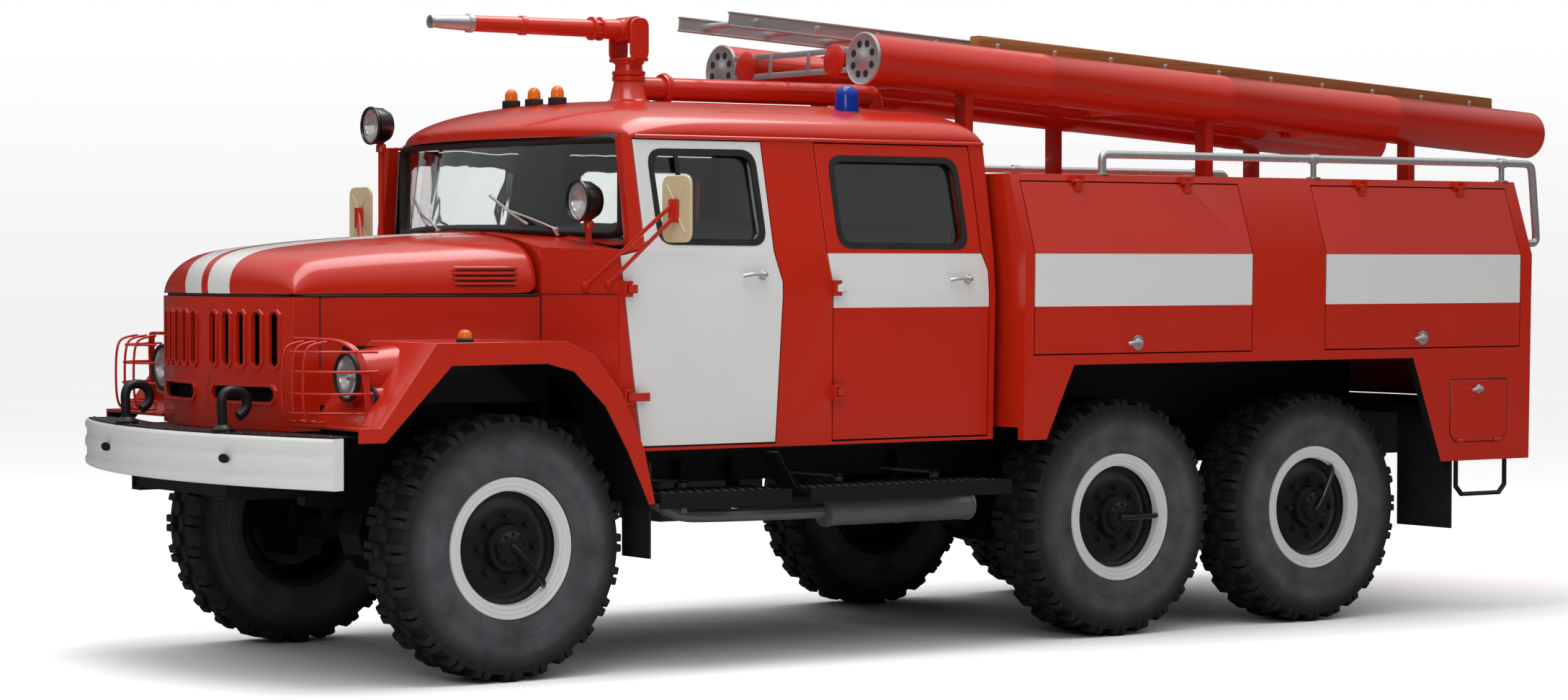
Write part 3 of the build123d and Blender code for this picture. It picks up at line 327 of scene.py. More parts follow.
def tyre_rubber(row_name, behind):
    """Moulded rubber for one axle's tyres, dusted between two radii about that axle."""
    material, tree, where = start_material(f"tyre_moulded_rubber_{row_name}")
    centre = at(0, behind, joint_at["spin_front_left"].z * 1000)
    split = add_node(tree, "SeparateXYZ", {0: where})
    flat = add_node(tree, "CombineXYZ", {"Y": split.outputs["Y"], "Z": split.outputs["Z"]})
    radius = add_node(tree, "VectorMath", {
        "operation": "DISTANCE", 0: flat.outputs[0], 1: centre}).outputs["Value"]
    wall = add_node(tree, "MapRange", {
        "Value": radius, "From Min": 0.5, "From Max": 0.42, "To Min": 0.0, "To Max": 0.75}).outputs[0]
    dust = add_node(tree, "TexNoise", {"Vector": where, "Scale": 9, "Detail": 5})
    amount = add_node(tree, "Math", {"operation": "MULTIPLY", 0: wall, 1: dust.outputs["Fac"]}).outputs[0]
    colour = mixed(tree, amount, linear("#232426"), linear("#6A6C70"))
    grit = add_node(tree, "TexNoise", {"Vector": where, "Scale": 400})
    bump = add_node(tree, "Bump", {"Height": grit.outputs["Fac"], "Strength": 0.12, "Distance": 0.002})
    return end_material(material, add_node(tree, "BsdfPrincipled", {
        "Base Color": colour, "Roughness": 0.78, "Normal": bump.outputs[0], "Specular IOR Level": 0.3}))


def spun_copies(bm, geom, centre, axis, count):
    """Repeats what geom holds round an axis, count times in all."""
    angle = math.tau * (count - 1) / count
    bmesh.ops.spin(bm, geom=geom, cent=centre, axis=axis, angle=angle, steps=count - 1, use_duplicate=True)


for row_name, behind in WHEEL_ROWS:
    rubber = tyre_rubber(row_name, behind)
    for side, sign in SIDES:
        centre = joint_at[f"spin_{row_name}_{side}"]
        axis = OUT * sign
        bm = bmesh.new()
        for facing in (1, -1):
            for low, high in LUG_BLADES:
                outline = [centre + (axis * facing * reach + UP * radius + BACK * low) / 1000
                           for reach, radius in LUG_SIDE]
                add_prism(bm, outline, BACK * (high - low) / 1000, 0.003)
            turn = Matrix.Rotation(math.pi / LUG_COUNT if facing > 0 else 0, 3, OUT)
            foot = axis * BLOCK_ROW * facing + UP * BLOCK_FOOT
            outline = [centre + turn @ (foot + axis * reach + BACK * run) / 1000
                       for run, reach in BLOCK_OUTLINE]
            add_prism(bm, outline, turn @ UP * BLOCK_RISE / 1000, 0.003)
        spun_copies(bm, bm.verts[:] + bm.edges[:] + bm.faces[:], centre, OUT, LUG_COUNT)
        profile = CARCASS + [(-reach, radius) for reach, radius in reversed(CARCASS[:-1])] + CARCASS[:1]
        add_turned(bm, centre, axis, profile, 96)
        body = f"{row_name}_wheel_{side}"
        tyre = piece(f"lugged_tyre_{row_name}_{side}", bm, rubber, body, 30)
        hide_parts(f"tyre_{row_name}_{side}")

# Wheels: pressed steel discs in black enamel, a rolled rim ring masked and sprayed white, eight nuts, a hub
# with its cover bolts, and the cast arm that carries air to the tyre.
ARM_DEGREES = {"front": -45, "middle": 0, "rear": 60}
AIR_ARM = ((162, -18), (176, 10), (174, 120), (168, 200), (134, 226))
WHEEL_DISC = [
    # distance from the middle plane, radius
    (-40, 62), (-40, 205), (48, 205), (50, 236), (-135, 258), (-145, 290), (-145, 299), (115, 299),
    (115, 246), (98, 240), (84, 233), (78, 216), (84, 196), (95, 176), (98, 118), (92, 100), (120, 96),
    (124, 74), (148, 70), (157, 52), (160, 20), (160, 0)]
RIM_RING = [
    (100, 236), (126, 240), (133, 246), (134, 252), (130, 256), (130, 261), (136, 265), (138, 272),
    (134, 277), (134, 282), (139, 287), (139, 295), (132, 299), (114, 299.5)]
NUT_CIRCLE, NUT_COUNT = 137, 8
COVER_CIRCLE, COVER_COUNT = 60, 10


def add_bar(bm, start, end, radius, end_radius=None, sides=16):
    """A round or flat-sided bar between two points, radii in metres."""
    span = end - start
    place = Matrix.Translation((start + end) / 2) @ span.to_track_quat("Z", "Y").to_matrix().to_4x4()
    far_radius = radius if end_radius is None else end_radius
    bmesh.ops.create_cone(bm, cap_ends=True, segments=sides, radius1=radius, radius2=far_radius,
                          depth=span.length, matrix=place)


def add_tube(bm, points, radius):
    """A bent tube of a radius in metres on one smooth line, which is steered by the points."""
    curve = bpy.data.curves.new("route", "CURVE")
    curve.dimensions = "3D"
    curve.bevel_depth = radius
    curve.bevel_resolution = 3
    curve.resolution_u = 10
    curve.use_fill_caps = True
    spline = curve.splines.new("NURBS")
    spline.points.add(len(points) - 1)
    for control, place in zip(spline.points, points):
        control.co = (*place, 1)
    spline.order_u = 3
    spline.use_endpoint_u = True
    route = bpy.data.objects.new("route", curve)
    mesh = bpy.data.meshes.new_from_object(route)
    bm.from_mesh(mesh)
    bpy.data.objects.remove(route)
    bpy.data.curves.remove(curve)
    bpy.data.meshes.remove(mesh)


wheel_black = enamel("wheel_black_enamel", "#141415", roughness=0.38, gloss=0.25)
ring_white = enamel("wheel_ring_white_enamel", "#DADAD8", roughness=0.38)
for row_name, arm_degrees in ARM_DEGREES.items():
    for side, sign in SIDES:
        body = f"{row_name}_wheel_{side}"
        centre = joint_at[f"spin_{row_name}_{side}"]
        axis = OUT * sign
        bm = bmesh.new()
        add_turned(bm, centre, axis, WHEEL_DISC)
        for count, circle, foot, top, radius in (
                (NUT_COUNT, NUT_CIRCLE, 96, 121, 0.017), (COVER_COUNT, COVER_CIRCLE, 150, 161, 0.006)):
            for index in range(count):
                turn = Matrix.Rotation(math.tau * index / count, 3, OUT)
                spot = centre + turn @ UP * circle / 1000
                add_bar(bm, spot + axis * foot / 1000, spot + axis * (foot + 5) / 1000, radius * 1.5)
                add_bar(bm, spot + axis * foot / 1000, spot + axis * top / 1000, radius, sides=6)
        spoke = Matrix.Rotation(math.radians(arm_degrees - 90), 3, OUT) @ UP
        add_tube(bm, [centre + (axis * reach + spoke * radius) / 1000 for reach, radius in AIR_ARM], 0.013)
        wheel = piece(f"disc_{row_name}_{side}", bm, wheel_black, body, 30)
        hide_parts(f"wheel_{row_name}_{side}")
        bm = bmesh.new()
        add_turned(bm, centre, axis, RIM_RING)
        piece(f"rim_ring_{row_name}_{side}", bm, ring_white, body, 40)

# Exhaust, steps and flaps: an aluminised pipe with its rolled silencer, folded steel running boards with
# pressed dots in black paint, and rubber flaps.
SILENCER = [
    (0, 32), (4, 60), (10, 70), (28, 70), (32, 66), (410, 66), (416, 69), (436, 69), (442, 66), (812, 66),
    (816, 70), (834, 70), (840, 60), (844, 0)]
PIPE_BENDS = (
    (840, 1770, 632), (840, 1500, 632), (830, 1150, 636), (820, 1010, 640), (800, 900, 690), (700, 860, 760))
STEP_GUSSET = ((1040, 1270, 925), (1178, 1270, 925), (1178, 1372, 768), (1040, 1372, 768))
BOARDS = ((662, 1350), (1452, 2580))
BOARD_TOP = 766
DOT_PITCH = 46


def metal(name, colour, roughness, grain):
    """Bare metal with fine scratches, spaced by grain in millimetres along X, Y and Z."""
    material, tree, where = start_material(name)
    stretch = add_node(tree, "Mapping", {"Vector": where, "Scale": [1000 / gap for gap in grain]})
    scratch = add_node(tree, "TexNoise", {"Vector": stretch.outputs[0], "Scale": 1.0, "Detail": 4})
    rough = add_node(tree, "MapRange", {
        "Value": scratch.outputs["Fac"], "To Min": max(roughness - 0.1, 0.03), "To Max": roughness + 0.14})
    tone = add_node(tree, "MapRange", {"Value": scratch.outputs["Fac"], "To Min": 0.86, "To Max": 1.08})
    shade = add_node(tree, "VectorMath", {
        "operation": "SCALE", 0: linear(colour)[:3], "Scale": tone.outputs[0]})
    bump = add_node(tree, "Bump", {"Height": scratch.outputs["Fac"], "Strength": 0.06, "Distance": 0.0006})
    return end_material(material, add_node(tree, "BsdfPrincipled", {
        "Base Color": shade.outputs[0], "Metallic": 0.72, "Roughness": rough.outputs[0],
        "Normal": bump.outputs[0]}))


def moulded_rubber(name, colour="#151516"):
    """Soft moulded rubber with a fine bloom."""
    material, tree, where = start_material(name)
    bloom = add_node(tree, "TexNoise", {"Vector": where, "Scale": 14, "Detail": 5})
    shade = mixed(tree, bloom.outputs["Fac"], linear(colour), linear("#2A2A2B"))
    bump = add_node(tree, "Bump", {"Height": bloom.outputs["Fac"], "Strength": 0.1, "Distance": 0.001})
    return end_material(material, add_node(tree, "BsdfPrincipled", {
        "Base Color": shade, "Roughness": 0.62, "Normal": bump.outputs[0]}))


def add_box(bm, low, high, edge=0.0):
    """A box between two corners in metres, with its edges rounded."""
    corners = bmesh.ops.create_cube(bm, size=1)["verts"]
    bmesh.ops.scale(bm, vec=high - low, verts=corners)
    bmesh.ops.translate(bm, vec=(low + high) / 2, verts=corners)
    if edge:
        edges = {item for corner in corners for item in corner.link_edges}
        bmesh.ops.bevel(bm, geom=list(edges), offset=edge, affect="EDGES", segments=2, profile=0.5,
                        material=-1)


def span_box(bm, left, behind, height, edge=0.0):
    """A box from three spans in millimetres."""
    lows, highs = zip(*[sorted(span) for span in (left, behind, height)])
    add_box(bm, at(*lows), at(*highs), edge)


def places(sign, rows):
    """Points on one side, from rows of (left, behind, height) in millimetres."""
    return [at(sign * left, behind, height) for left, behind, height in rows]


aluminised = metal("exhaust_aluminised_steel", "#9A9A98", 0.42, (25, 25, 25))
bm = bmesh.new()
add_turned(bm, at(840, 1766, 632), BACK, SILENCER, 40)
add_tube(bm, places(1, PIPE_BENDS), 0.03)
for behind in (1000, 1850, 2400):
    span_box(bm, (440, 846), (behind, behind + 30), (783, 797), 0.003)
    span_box(bm, (812, 846), (behind, behind + 30), (640, 797), 0.003)
pipe = piece("exhaust_pipe", bm, aluminised, "chassis")
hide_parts("exhaust")

board_black = enamel("step_black_enamel", "#121213", roughness=0.5, gloss=0.05)
paint_nodes(board_black, "steps")
bm = bmesh.new()
for side, sign in SIDES:
    for start, end in BOARDS:
        for index in range(int((end - start - 30) / DOT_PITCH)):
            for row, left in enumerate((900, 946, 992, 1038, 1084, 1130)):
                foot = at(sign * left, start + 28 + DOT_PITCH * (index + 0.5 * (row % 2)), BOARD_TOP - 1)
                add_bar(bm, foot, foot + UP * 0.005, 0.009, 0.005, 8)
    add_prism(bm, places(sign, STEP_GUSSET), Vector((0, 0.006, 0.004)))
piece("step_dots", bm, board_black, "chassis", 50)
flap_rubber = moulded_rubber("flap_moulded_rubber")
paint_nodes(flap_rubber, "mud_flaps")

# Bumper: a rolled steel beam with three flutes, bowed and sprayed white. A black deck plate riveted along its
# edge lies on it, with two forged tow hooks bolted through.
BUMPER_RADIUS = 3115
BUMPER_CENTRE = 1990.5
BUMPER_HALF_ANGLE = math.asin(1150 / BUMPER_RADIUS)
BUMPER_SECTION = [
    (72, 1040), (14, 1040), (5, 1036), (0, 1024), (1, 1006), (8, 994), (8, 968), (1, 956), (0, 938), (1, 920),
    (8, 908), (8, 880), (1, 868), (0, 852), (5, 837), (14, 831), (72, 831)]
DECK_SECTION = [(16, 1040), (205, 1040), (205, 1046), (16, 1046)]
RIVET_INSET = 40
RIVET_COUNT = 27
HOOK = (
    (454, -1030, 1045), (454, -1036, 1100), (454, -1040, 1200), (454, -985, 1222), (454, -925, 1200),
    (454, -918, 1130), (454, -962, 1108))


def add_bowed(bm, section, half_angle, steps=56):
    """A closed section of (inset from the bumper's front, height), swept along the bumper's bow."""
    middle = at(0, BUMPER_CENTRE, 0)
    verts = [bm.verts.new(at(0, BUMPER_CENTRE - BUMPER_RADIUS + inset, height)) for inset, height in section]
    edges = [bm.edges.new(pair) for pair in zip(verts, verts[1:] + verts[:1])]
    bmesh.ops.rotate(bm, cent=middle, matrix=Matrix.Rotation(-half_angle, 3, "Z"), verts=verts)
    swept = bmesh.ops.spin(bm, geom=verts + edges, cent=middle, axis=UP, angle=2 * half_angle, steps=steps)
    ends = edges + [item for item in swept["geom_last"] if isinstance(item, bmesh.types.BMEdge)]
    bmesh.ops.holes_fill(bm, edges=ends, sides=0)


bumper_white = enamel("bumper_grey_white_enamel", "#E2E2E0", roughness=0.34)
bm = bmesh.new()
add_bowed(bm, BUMPER_SECTION, BUMPER_HALF_ANGLE)
bumper = piece("bumper_beam", bm, bumper_white, "chassis", 50)
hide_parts("bumper")
bm = bmesh.new()
add_bowed(bm, DECK_SECTION, BUMPER_HALF_ANGLE - 0.002)
span_box(bm, (-560, 560), (-930, -700), (1034, 1043), 0.002)
for index in range(RIVET_COUNT):
    angle = BUMPER_HALF_ANGLE * (2 * (index + 0.5) / RIVET_COUNT - 1)
    reach = BUMPER_RADIUS - RIVET_INSET
    foot = at(reach * math.sin(angle), BUMPER_CENTRE - reach * math.cos(angle), 1045)
    add_turned(bm, foot, UP, [(0, 9), (3, 8), (5, 5), (6, 0)], 10)
for side, sign in SIDES:
    span_box(bm, (sign * 360, sign * 440), (-1045, -1015), (850, 980), 0.004)
    add_turned(bm, at(sign * 454, -1030, 1045), UP, [(0, 50), (12, 50), (18, 40), (30, 30), (30, 0)], 24)
    add_tube(bm, places(sign, HOOK), 0.021)
    hole = [at(sign * 559, -1080, 942) + Vector((45 * math.cos(angle), 0, 19 * math.sin(angle))) / 1000
            for angle in [math.tau * index / 20 for index in range(20)]]
    add_prism(bm, hole, Vector((sign * -0.0015, -0.0045, 0)))
piece("bumper_deck_and_hooks", bm, chassis_black, "chassis", 40)

# Nose: a pressed steel shell with rimmed slots in red enamel, its edges rolled, in front of a black finned
# radiator. The slots' walls are painted near-black as painted shade.
RED = "#BE240C"
SLOT_SHADE = "#070707"
FIN_MM = 6
NOSE_HALF = 600
NOSE_DEPTH = 110
CORE_FRONT = -842
CORE_HALF = 580


def panel(node, material, body, edge_mm, rolled_mm=0, rolls=None):
    """A merged copy of a packed panel, which takes the node's place. Its sharp edges are rounded a little,
    and those that rolls picks by their middle, in the builder's millimetres, are rolled over further."""
    bm = bmesh.new()
    bm.from_mesh(frame["nodes"][node].data)
    bmesh.ops.remove_doubles(bm, verts=bm.verts, dist=0.00003)
    bmesh.ops.dissolve_limit(bm, angle_limit=math.radians(0.4), verts=bm.verts, edges=bm.edges)
    if rolls:
        chosen = []
        for item in bm.edges:
            middle = (item.verts[0].co + item.verts[1].co) / 2
            left, behind, height = abs(middle.x) * 1000, (middle.y - front_axle_y) * 1000, middle.z * 1000
            if item.calc_face_angle(0) > 0.2 and rolls(left, behind, height):
                chosen.append(item)
        bmesh.ops.bevel(bm, geom=chosen, offset=rolled_mm / 1000, affect="EDGES", segments=5, profile=0.5,
                        material=-1, clamp_overlap=True)
    made = piece(f"{node}_pressing", bm, material, body, 32)
    rounding = made.modifiers.new("edge_rounding", "BEVEL")
    rounding.width = edge_mm / 1000
    rounding.segments = 2
    rounding.limit_method = "ANGLE"
    rounding.angle_limit = math.radians(32)
    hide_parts(node)
    return made


red_enamel = enamel("red_enamel_sprayed", RED)
# Painted shade: the slots' walls, just behind the nose's front face, are painted near-black.
nose_paint = enamel("red_enamel_shaded_slots", RED, bands=[
    (SLOT_SHADE, ("X", 0, 590), ("BOW", -879, -500), ("Z", 1050, 1597))])
panel("grille_shell", nose_paint, "chassis", 4)
radiator_black, tree, where = start_material("radiator_black_finned_core")
fins = add_node(tree, "TexWave", {"Vector": where, "Scale": 1000 / FIN_MM / 20, "bands_direction": "Z"})
tint = mixed(tree, fins.outputs["Fac"], linear("#050505"), linear("#161616"))
end_material(radiator_black, add_node(tree, "BsdfPrincipled", {"Base Color": tint, "Roughness": 0.6}))
bm = bmesh.new()
bmesh.ops.create_grid(bm, x_segments=24, y_segments=1, size=1)
for corner in bm.verts:
    front = CORE_FRONT + NOSE_DEPTH * (0.967 * corner.co.x) ** 2
    corner.co = at(CORE_HALF * corner.co.x, front, 1325 + 262 * corner.co.y)
bmesh.ops.solidify(bm, geom=bm.faces[:], thickness=0.03)
for left in range(-540, 541, 60):
    front = CORE_FRONT + NOSE_DEPTH * (left / NOSE_HALF) ** 2
    span_box(bm, (left - 4, left + 4), (front - 3, front + 6), (1064, 1586), 0.001)
piece("radiator", bm, radiator_black, "chassis")

# Headlamps: clear ribbed lenses in black rubber rims on red sheet nacelles, a small turn lamp below each, and
# a guard of red strap and wire that is bolted to the nose and the wing.
HEADLAMP = (842, -664, 1276)
TURN_LAMP = (958, -612, 1196)
NACELLE = [(6, 100), (30, 106), (120, 118), (210, 128), (210, 0)]
LAMP_RIM = [(12, 101), (0, 104), (-8, 102), (-12, 96), (-9, 89), (0, 87), (12, 87), (12, 101)]
LENS = [(0, 88), (-8, 72), (-13, 42), (-15, 0)]
BOWL = [(0, 87), (22, 66), (36, 34), (40, 0)]
GUARD_HEIGHTS = (1130, 1210, 1300, 1380)
GUARD_UPRIGHTS = (690, 780, 870)
GUARD_BEND = (
    (-775, 1095), (-850, 1085), (-880, 1130), (-885, 1250), (-880, 1370), (-850, 1415), (-775, 1420))
GUARD_STRAP = (
    (990, -590, 1075), (985, -640, 1090), (980, -650, 1250), (960, -665, 1370), (880, -700, 1425),
    (740, -760, 1432), (615, -775, 1432))


def tinted_lens(name, colour, clear, rib_mm, glow=0.0):
    """Moulded lens plastic or glass with fine upright ribs."""
    material, tree, where = start_material(name)
    ribs = add_node(tree, "TexWave", {"Vector": where, "Scale": 1000 / rib_mm / 20, "bands_direction": "X"})
    bump = add_node(tree, "Bump", {"Height": ribs.outputs["Fac"], "Strength": 0.3, "Distance": 0.002})
    dust = add_node(tree, "TexNoise", {"Vector": where, "Scale": 30})
    rough = add_node(tree, "MapRange", {"Value": dust.outputs["Fac"], "To Min": 0.03, "To Max": 0.16})
    return end_material(material, add_node(tree, "BsdfPrincipled", {
        "Base Color": linear(colour), "Roughness": rough.outputs[0], "Transmission Weight": clear,
        "IOR": 1.46, "Normal": bump.outputs[0], "Emission Color": linear(colour), "Emission Strength": glow}))


clear_lens = tinted_lens("lamp_ribbed_clear_glass", "#F4F6F6", 0.92, 8)
bright_steel = metal("polished_chromed_steel", "#D8D8D8", 0.14, (60, 60, 60))
seal_rubber = moulded_rubber("seal_extruded_rubber", "#0C0C0D")
for side, sign in SIDES:
    place, turn_place = places(sign, (HEADLAMP, TURN_LAMP))
    bm = bmesh.new()
    add_turned(bm, place, BACK, NACELLE, 48)
    add_turned(bm, turn_place, BACK, [(4, 40), (60, 44), (120, 48), (120, 0)], 32)
    for level in GUARD_HEIGHTS:
        bow = 1 - abs(level - 1250) / 600
        add_tube(bm, [at(sign * left, run, level) for left, run in (
            (985, -600), (985, -700), (950, -830 * bow - 20), (840, -870), (700, -880), (616, -810))], 0.0055)
    for left in GUARD_UPRIGHTS:
        add_tube(bm, [at(sign * left, run, level) for run, level in GUARD_BEND], 0.0055)
    for shift in (-9, 0, 9):
        add_tube(bm, [at(sign * left, run + shift, level) for left, run, level in GUARD_STRAP], 0.007)
    lamp = piece(f"headlamp_nacelle_{side}", bm, red_enamel, "chassis", 40)
    if side == "left":
        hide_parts("lamps")
    bm = bmesh.new()
    add_turned(bm, place, BACK, LAMP_RIM, 48)
    add_turned(bm, turn_place, BACK, [(6, 42), (-6, 42), (-9, 36), (-4, 31), (6, 31), (6, 42)], 32)
    piece(f"headlamp_rim_{side}", bm, seal_rubber, "chassis")
    bm = bmesh.new()
    add_turned(bm, place, BACK, LENS, 48)
    add_turned(bm, turn_place, BACK, [(0, 32), (-8, 26), (-12, 0)], 32)
    piece(f"headlamp_lens_{side}", bm, clear_lens, "chassis", 60)
    bm = bmesh.new()
    add_turned(bm, place, BACK, BOWL, 48)
    add_turned(bm, place + BACK * 0.036, -BACK, [(0, 14), (20, 12), (26, 0)], 16)
    piece(f"headlamp_bowl_{side}", bm, bright_steel, "chassis", 60)

# Bonnet: one crowned steel pressing with rolled shoulders and a rounded nose, in red enamel with two masked
# white stripes, and four louvres pressed out of each side.
WHITE = "#DEDEDC"
# Painted shade: a near-black that stands for the shade on the panels' inward and downward faces.
INNER_SHADE = "#161617"
BONNET_BOTTOM = 1611
NOSE_END = -656
NOSE_CURVE = 172
FLARE = 152
FLARE_LENGTH = 981
BONNET_COLUMNS = [
    # part of the half width, part of the height
    (0, 1), (0.25, 0.985), (0.5, 0.945), (0.7, 0.875), (0.84, 0.77), (0.93, 0.62), (0.98, 0.42), (1, 0.18),
    (1, 0.0)]
BONNET_ROWS = [
    # distance behind the front axle on the middle line, height of the crown there
    (-884, 1611), (-888, 1640), (-886, 1672), (-876, 1708), (-855, 1742), (-820, 1770), (-765, 1792),
    (-690, 1810), (-500, 1832), (-320, 1848), (-80, 1863), (150, 1874), (311, 1879)]
LOUVRE_HEIGHTS = (1655, 1677, 1699, 1721)


def bonnet_half_width(behind):
    """The bonnet's half width: even along the nose, then flared to the cowl."""
    return NOSE_HALF + FLARE * max(0, behind - NOSE_END) / FLARE_LENGTH


def crowned_grid(half_columns, rows, place):
    """A grid over both halves of a crowned pressing. Each corner lies where place puts its column and row."""
    columns = [(-part, rise) for part, rise in reversed(half_columns[1:])] + half_columns
    bm = bmesh.new()
    bmesh.ops.create_grid(bm, x_segments=len(columns) - 1, y_segments=len(rows) - 1, size=1)
    for corner in bm.verts:
        column = columns[round((corner.co.x + 1) / 2 * (len(columns) - 1))]
        row = rows[round((corner.co.y + 1) / 2 * (len(rows) - 1))]
        corner.co = place(*column, *row)
    return bm


def press(made, levels, thickness):
    """Smooths a grid into a pressing and gives its sheet a thickness in metres, inwards."""
    smoothing = made.modifiers.new("smooth_pressing", "SUBSURF")
    smoothing.levels = levels
    smoothing.render_levels = levels
    sheet = made.modifiers.new("sheet", "SOLIDIFY")
    sheet.thickness = thickness
    sheet.offset = -1
    return sheet


def on_bonnet(part, rise, behind, crown):
    """A point of the bonnet, its nose bowed as the grille below it."""
    bowed = NOSE_DEPTH * part ** 2 * min(1, max(0, (NOSE_END - behind) / NOSE_CURVE))
    height = BONNET_BOTTOM + (crown - BONNET_BOTTOM) * rise
    return at(part * bonnet_half_width(behind), behind + bowed, height)


# The bonnet's underside and inward faces take the painted shade.
bonnet_paint = enamel("red_enamel_two_stripes", RED, bands=[(WHITE, ("X", 30, 205))], shade_colour=INNER_SHADE)
bm = crowned_grid(BONNET_COLUMNS, BONNET_ROWS, on_bonnet)
bonnet = piece("bonnet_pressing", bm, bonnet_paint, "bonnet", 60)
press(bonnet, 3, 0.006)
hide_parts("bonnet")
bm = bmesh.new()
for side, sign in SIDES:
    for height in LOUVRE_HEIGHTS:
        add_tube(bm, [at(sign * (bonnet_half_width(behind) + lift), behind, height) for behind, lift in (
            (-62, -3), (-40, 3), (80, 4), (200, 3), (224, -3))], 0.007)
    span_box(bm, (sign * 232, sign * 268), (278, 341), (1845, 1878), 0.006)
piece("bonnet_louvres", bm, red_enamel, "bonnet")
bm = bmesh.new()
for side, sign in SIDES:
    for height in LOUVRE_HEIGHTS:
        add_tube(bm, [at(sign * (bonnet_half_width(behind) + 1), behind, height - 9)
                      for behind in (-50, 80, 212)], 0.0035)
piece("louvre_slits", bm, seal_rubber, "bonnet")

# Front wings: folded and welded sheet with deep lips, red outside, painted near-black in the arches and dark
# inside as painted shade, each with an amber marker on a rubber base.
# Painted shade: the near-black of the wheel arches, the cowl's lower part and the lockers' lower part.
ARCH_SHADE = "#0C0C0C"


def small_lamp(kind, end, foot, axis, base, lens, lens_material, steps):
    """A turned rubber base with a turned lens on it, fixed to the chassis body."""
    bm = bmesh.new()
    add_turned(bm, foot, axis, base, steps)
    piece(f"{kind}_base_{end}", bm, seal_rubber, "chassis")
    bm = bmesh.new()
    add_turned(bm, foot, axis, lens, steps)
    piece(f"{kind}_lens_{end}", bm, lens_material, "chassis", 60)


amber_lens = tinted_lens("lamp_amber_moulded_plastic", "#E87810", 0.35, 5, 0.12)
# Painted shade: the wings' inner aprons in the arches are painted near-black.
wing_paint = enamel("red_enamel_shaded_arches", RED, shade_colour=INNER_SHADE, bands=[
    (ARCH_SHADE, ("X", 560, 766), ("Y", -560, 700), ("Z", 0, 1396))])
panel("front_wings", wing_paint, "chassis", 14)
for side, sign in SIDES:
    small_lamp("marker", side, at(sign * 1090, -250, 1417), UP, [(0, 36), (12, 36), (18, 30), (18, 0)],
               [(14, 30), (36, 29), (47, 22), (52, 10), (53, 0)], amber_lens, 28)

# Cab shell: cowl, floor, side frames and a roof with a rolled edge and brow, welded from pressings in red
# enamel. Their inward and downward faces, and the cab's tub, dashboard and ceiling, are painted dark as
# painted shade.
COWL_LIFT = 38
COWL_LOW = 1780
COWL_HALF = 1088
ROOF_HALF = 1005
ROOF_LOW = 2286
ROOF_COLUMNS = [
    # part of the half width, part of the height
    (0, 1), (0.3, 0.965), (0.55, 0.89), (0.75, 0.77), (0.88, 0.6), (0.95, 0.43), (0.99, 0.24), (1, 0.1),
    (1, 0.0)]
ROOF_ROWS = [
    # distance behind the front axle on the middle line, height of the crown there, how far the sides lie
    # behind it, part of the half width
    (404, 2287, 256, 0.955), (400, 2310, 258, 0.95), (402, 2332, 256, 0.945), (425, 2356, 240, 0.95),
    (500, 2393, 205, 0.97), (620, 2430, 150, 0.99), (780, 2460, 90, 1), (1000, 2476, 40, 1),
    (1300, 2479, 0, 1), (1900, 2479, 0, 1), (2380, 2476, 0, 1), (2490, 2462, 0, 1), (2535, 2425, 0, 1),
    (2548, 2360, 0, 1), (2549, 2287, 0, 1)]
BONNET_SEAL = (
    (-748, 320), (-672, -165), (-597, -650), (-596, -770), (-400, -832), (-200, -868), (0, -880), (200, -868),
    (400, -832), (596, -770), (597, -650), (672, -165), (748, 320))


def on_roof(part, rise, behind, crown, bow, narrow):
    """A point of the roof, its front bowed as the windscreen."""
    height = ROOF_LOW + (crown - ROOF_LOW) * rise
    return at(part * ROOF_HALF * narrow, behind + bow * part ** 2, height)


# Painted shade: the cowl is painted near-black below 1151 mm and behind the front wheel, and dark on its
# inward and downward faces.
cowl_paint = enamel("red_enamel_shaded_toe", RED, shade_colour=INNER_SHADE, bands=[
    (ARCH_SHADE, ("Z", 0, 1151)), (ARCH_SHADE, ("Y", 0, 390), ("Z", 0, 1396))])
cowl = panel("cab_cowl", cowl_paint, "chassis", 5, 60,
             lambda left, behind, height: left > 700 and behind < 520 and height > 1770)
for corner in cowl.data.vertices:
    across, behind, height = (corner.co - at(0, 0, 0)) * 1000
    on_hinge = 200 < abs(across) < 300 and behind < 385 and height > 1852
    if height > COWL_LOW and not on_hinge:
        corner.co.z += COWL_LIFT / 1000 * max(0, 1 - (across / COWL_HALF) ** 2)
bm = bmesh.new()
for side, sign in SIDES:
    add_tube(bm, [at(sign * x, behind, 1612) for x, behind in ((754, 335), (921, 421), (1089, 507))], 0.0025)
    add_tube(bm, [at(sign * 752, 331, height) for height in (1606, 1520, 1424)], 0.0025)
    add_tube(bm, [at(sign * 601, -656, height) for height in (1600, 1450, 1300)], 0.0025)
add_tube(bm, [at(x, behind, 1605) for x, behind in BONNET_SEAL], 0.006)
piece("cowl_seams", bm, seal_rubber, "chassis")
# The cab frame's inward and downward faces behind 740 mm take the painted shade.
frame_paint = enamel("red_enamel_cab_frame", RED, shade_colour=INNER_SHADE, shade_from=740)
panel("cab_sides", frame_paint, "chassis", 3)
bm = crowned_grid(ROOF_COLUMNS, ROOF_ROWS, on_roof)
roof = piece("roof_pressing", bm, red_enamel, "chassis", 60)
press(roof, 2, 0.02).material_offset = 1
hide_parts("cab_roof")
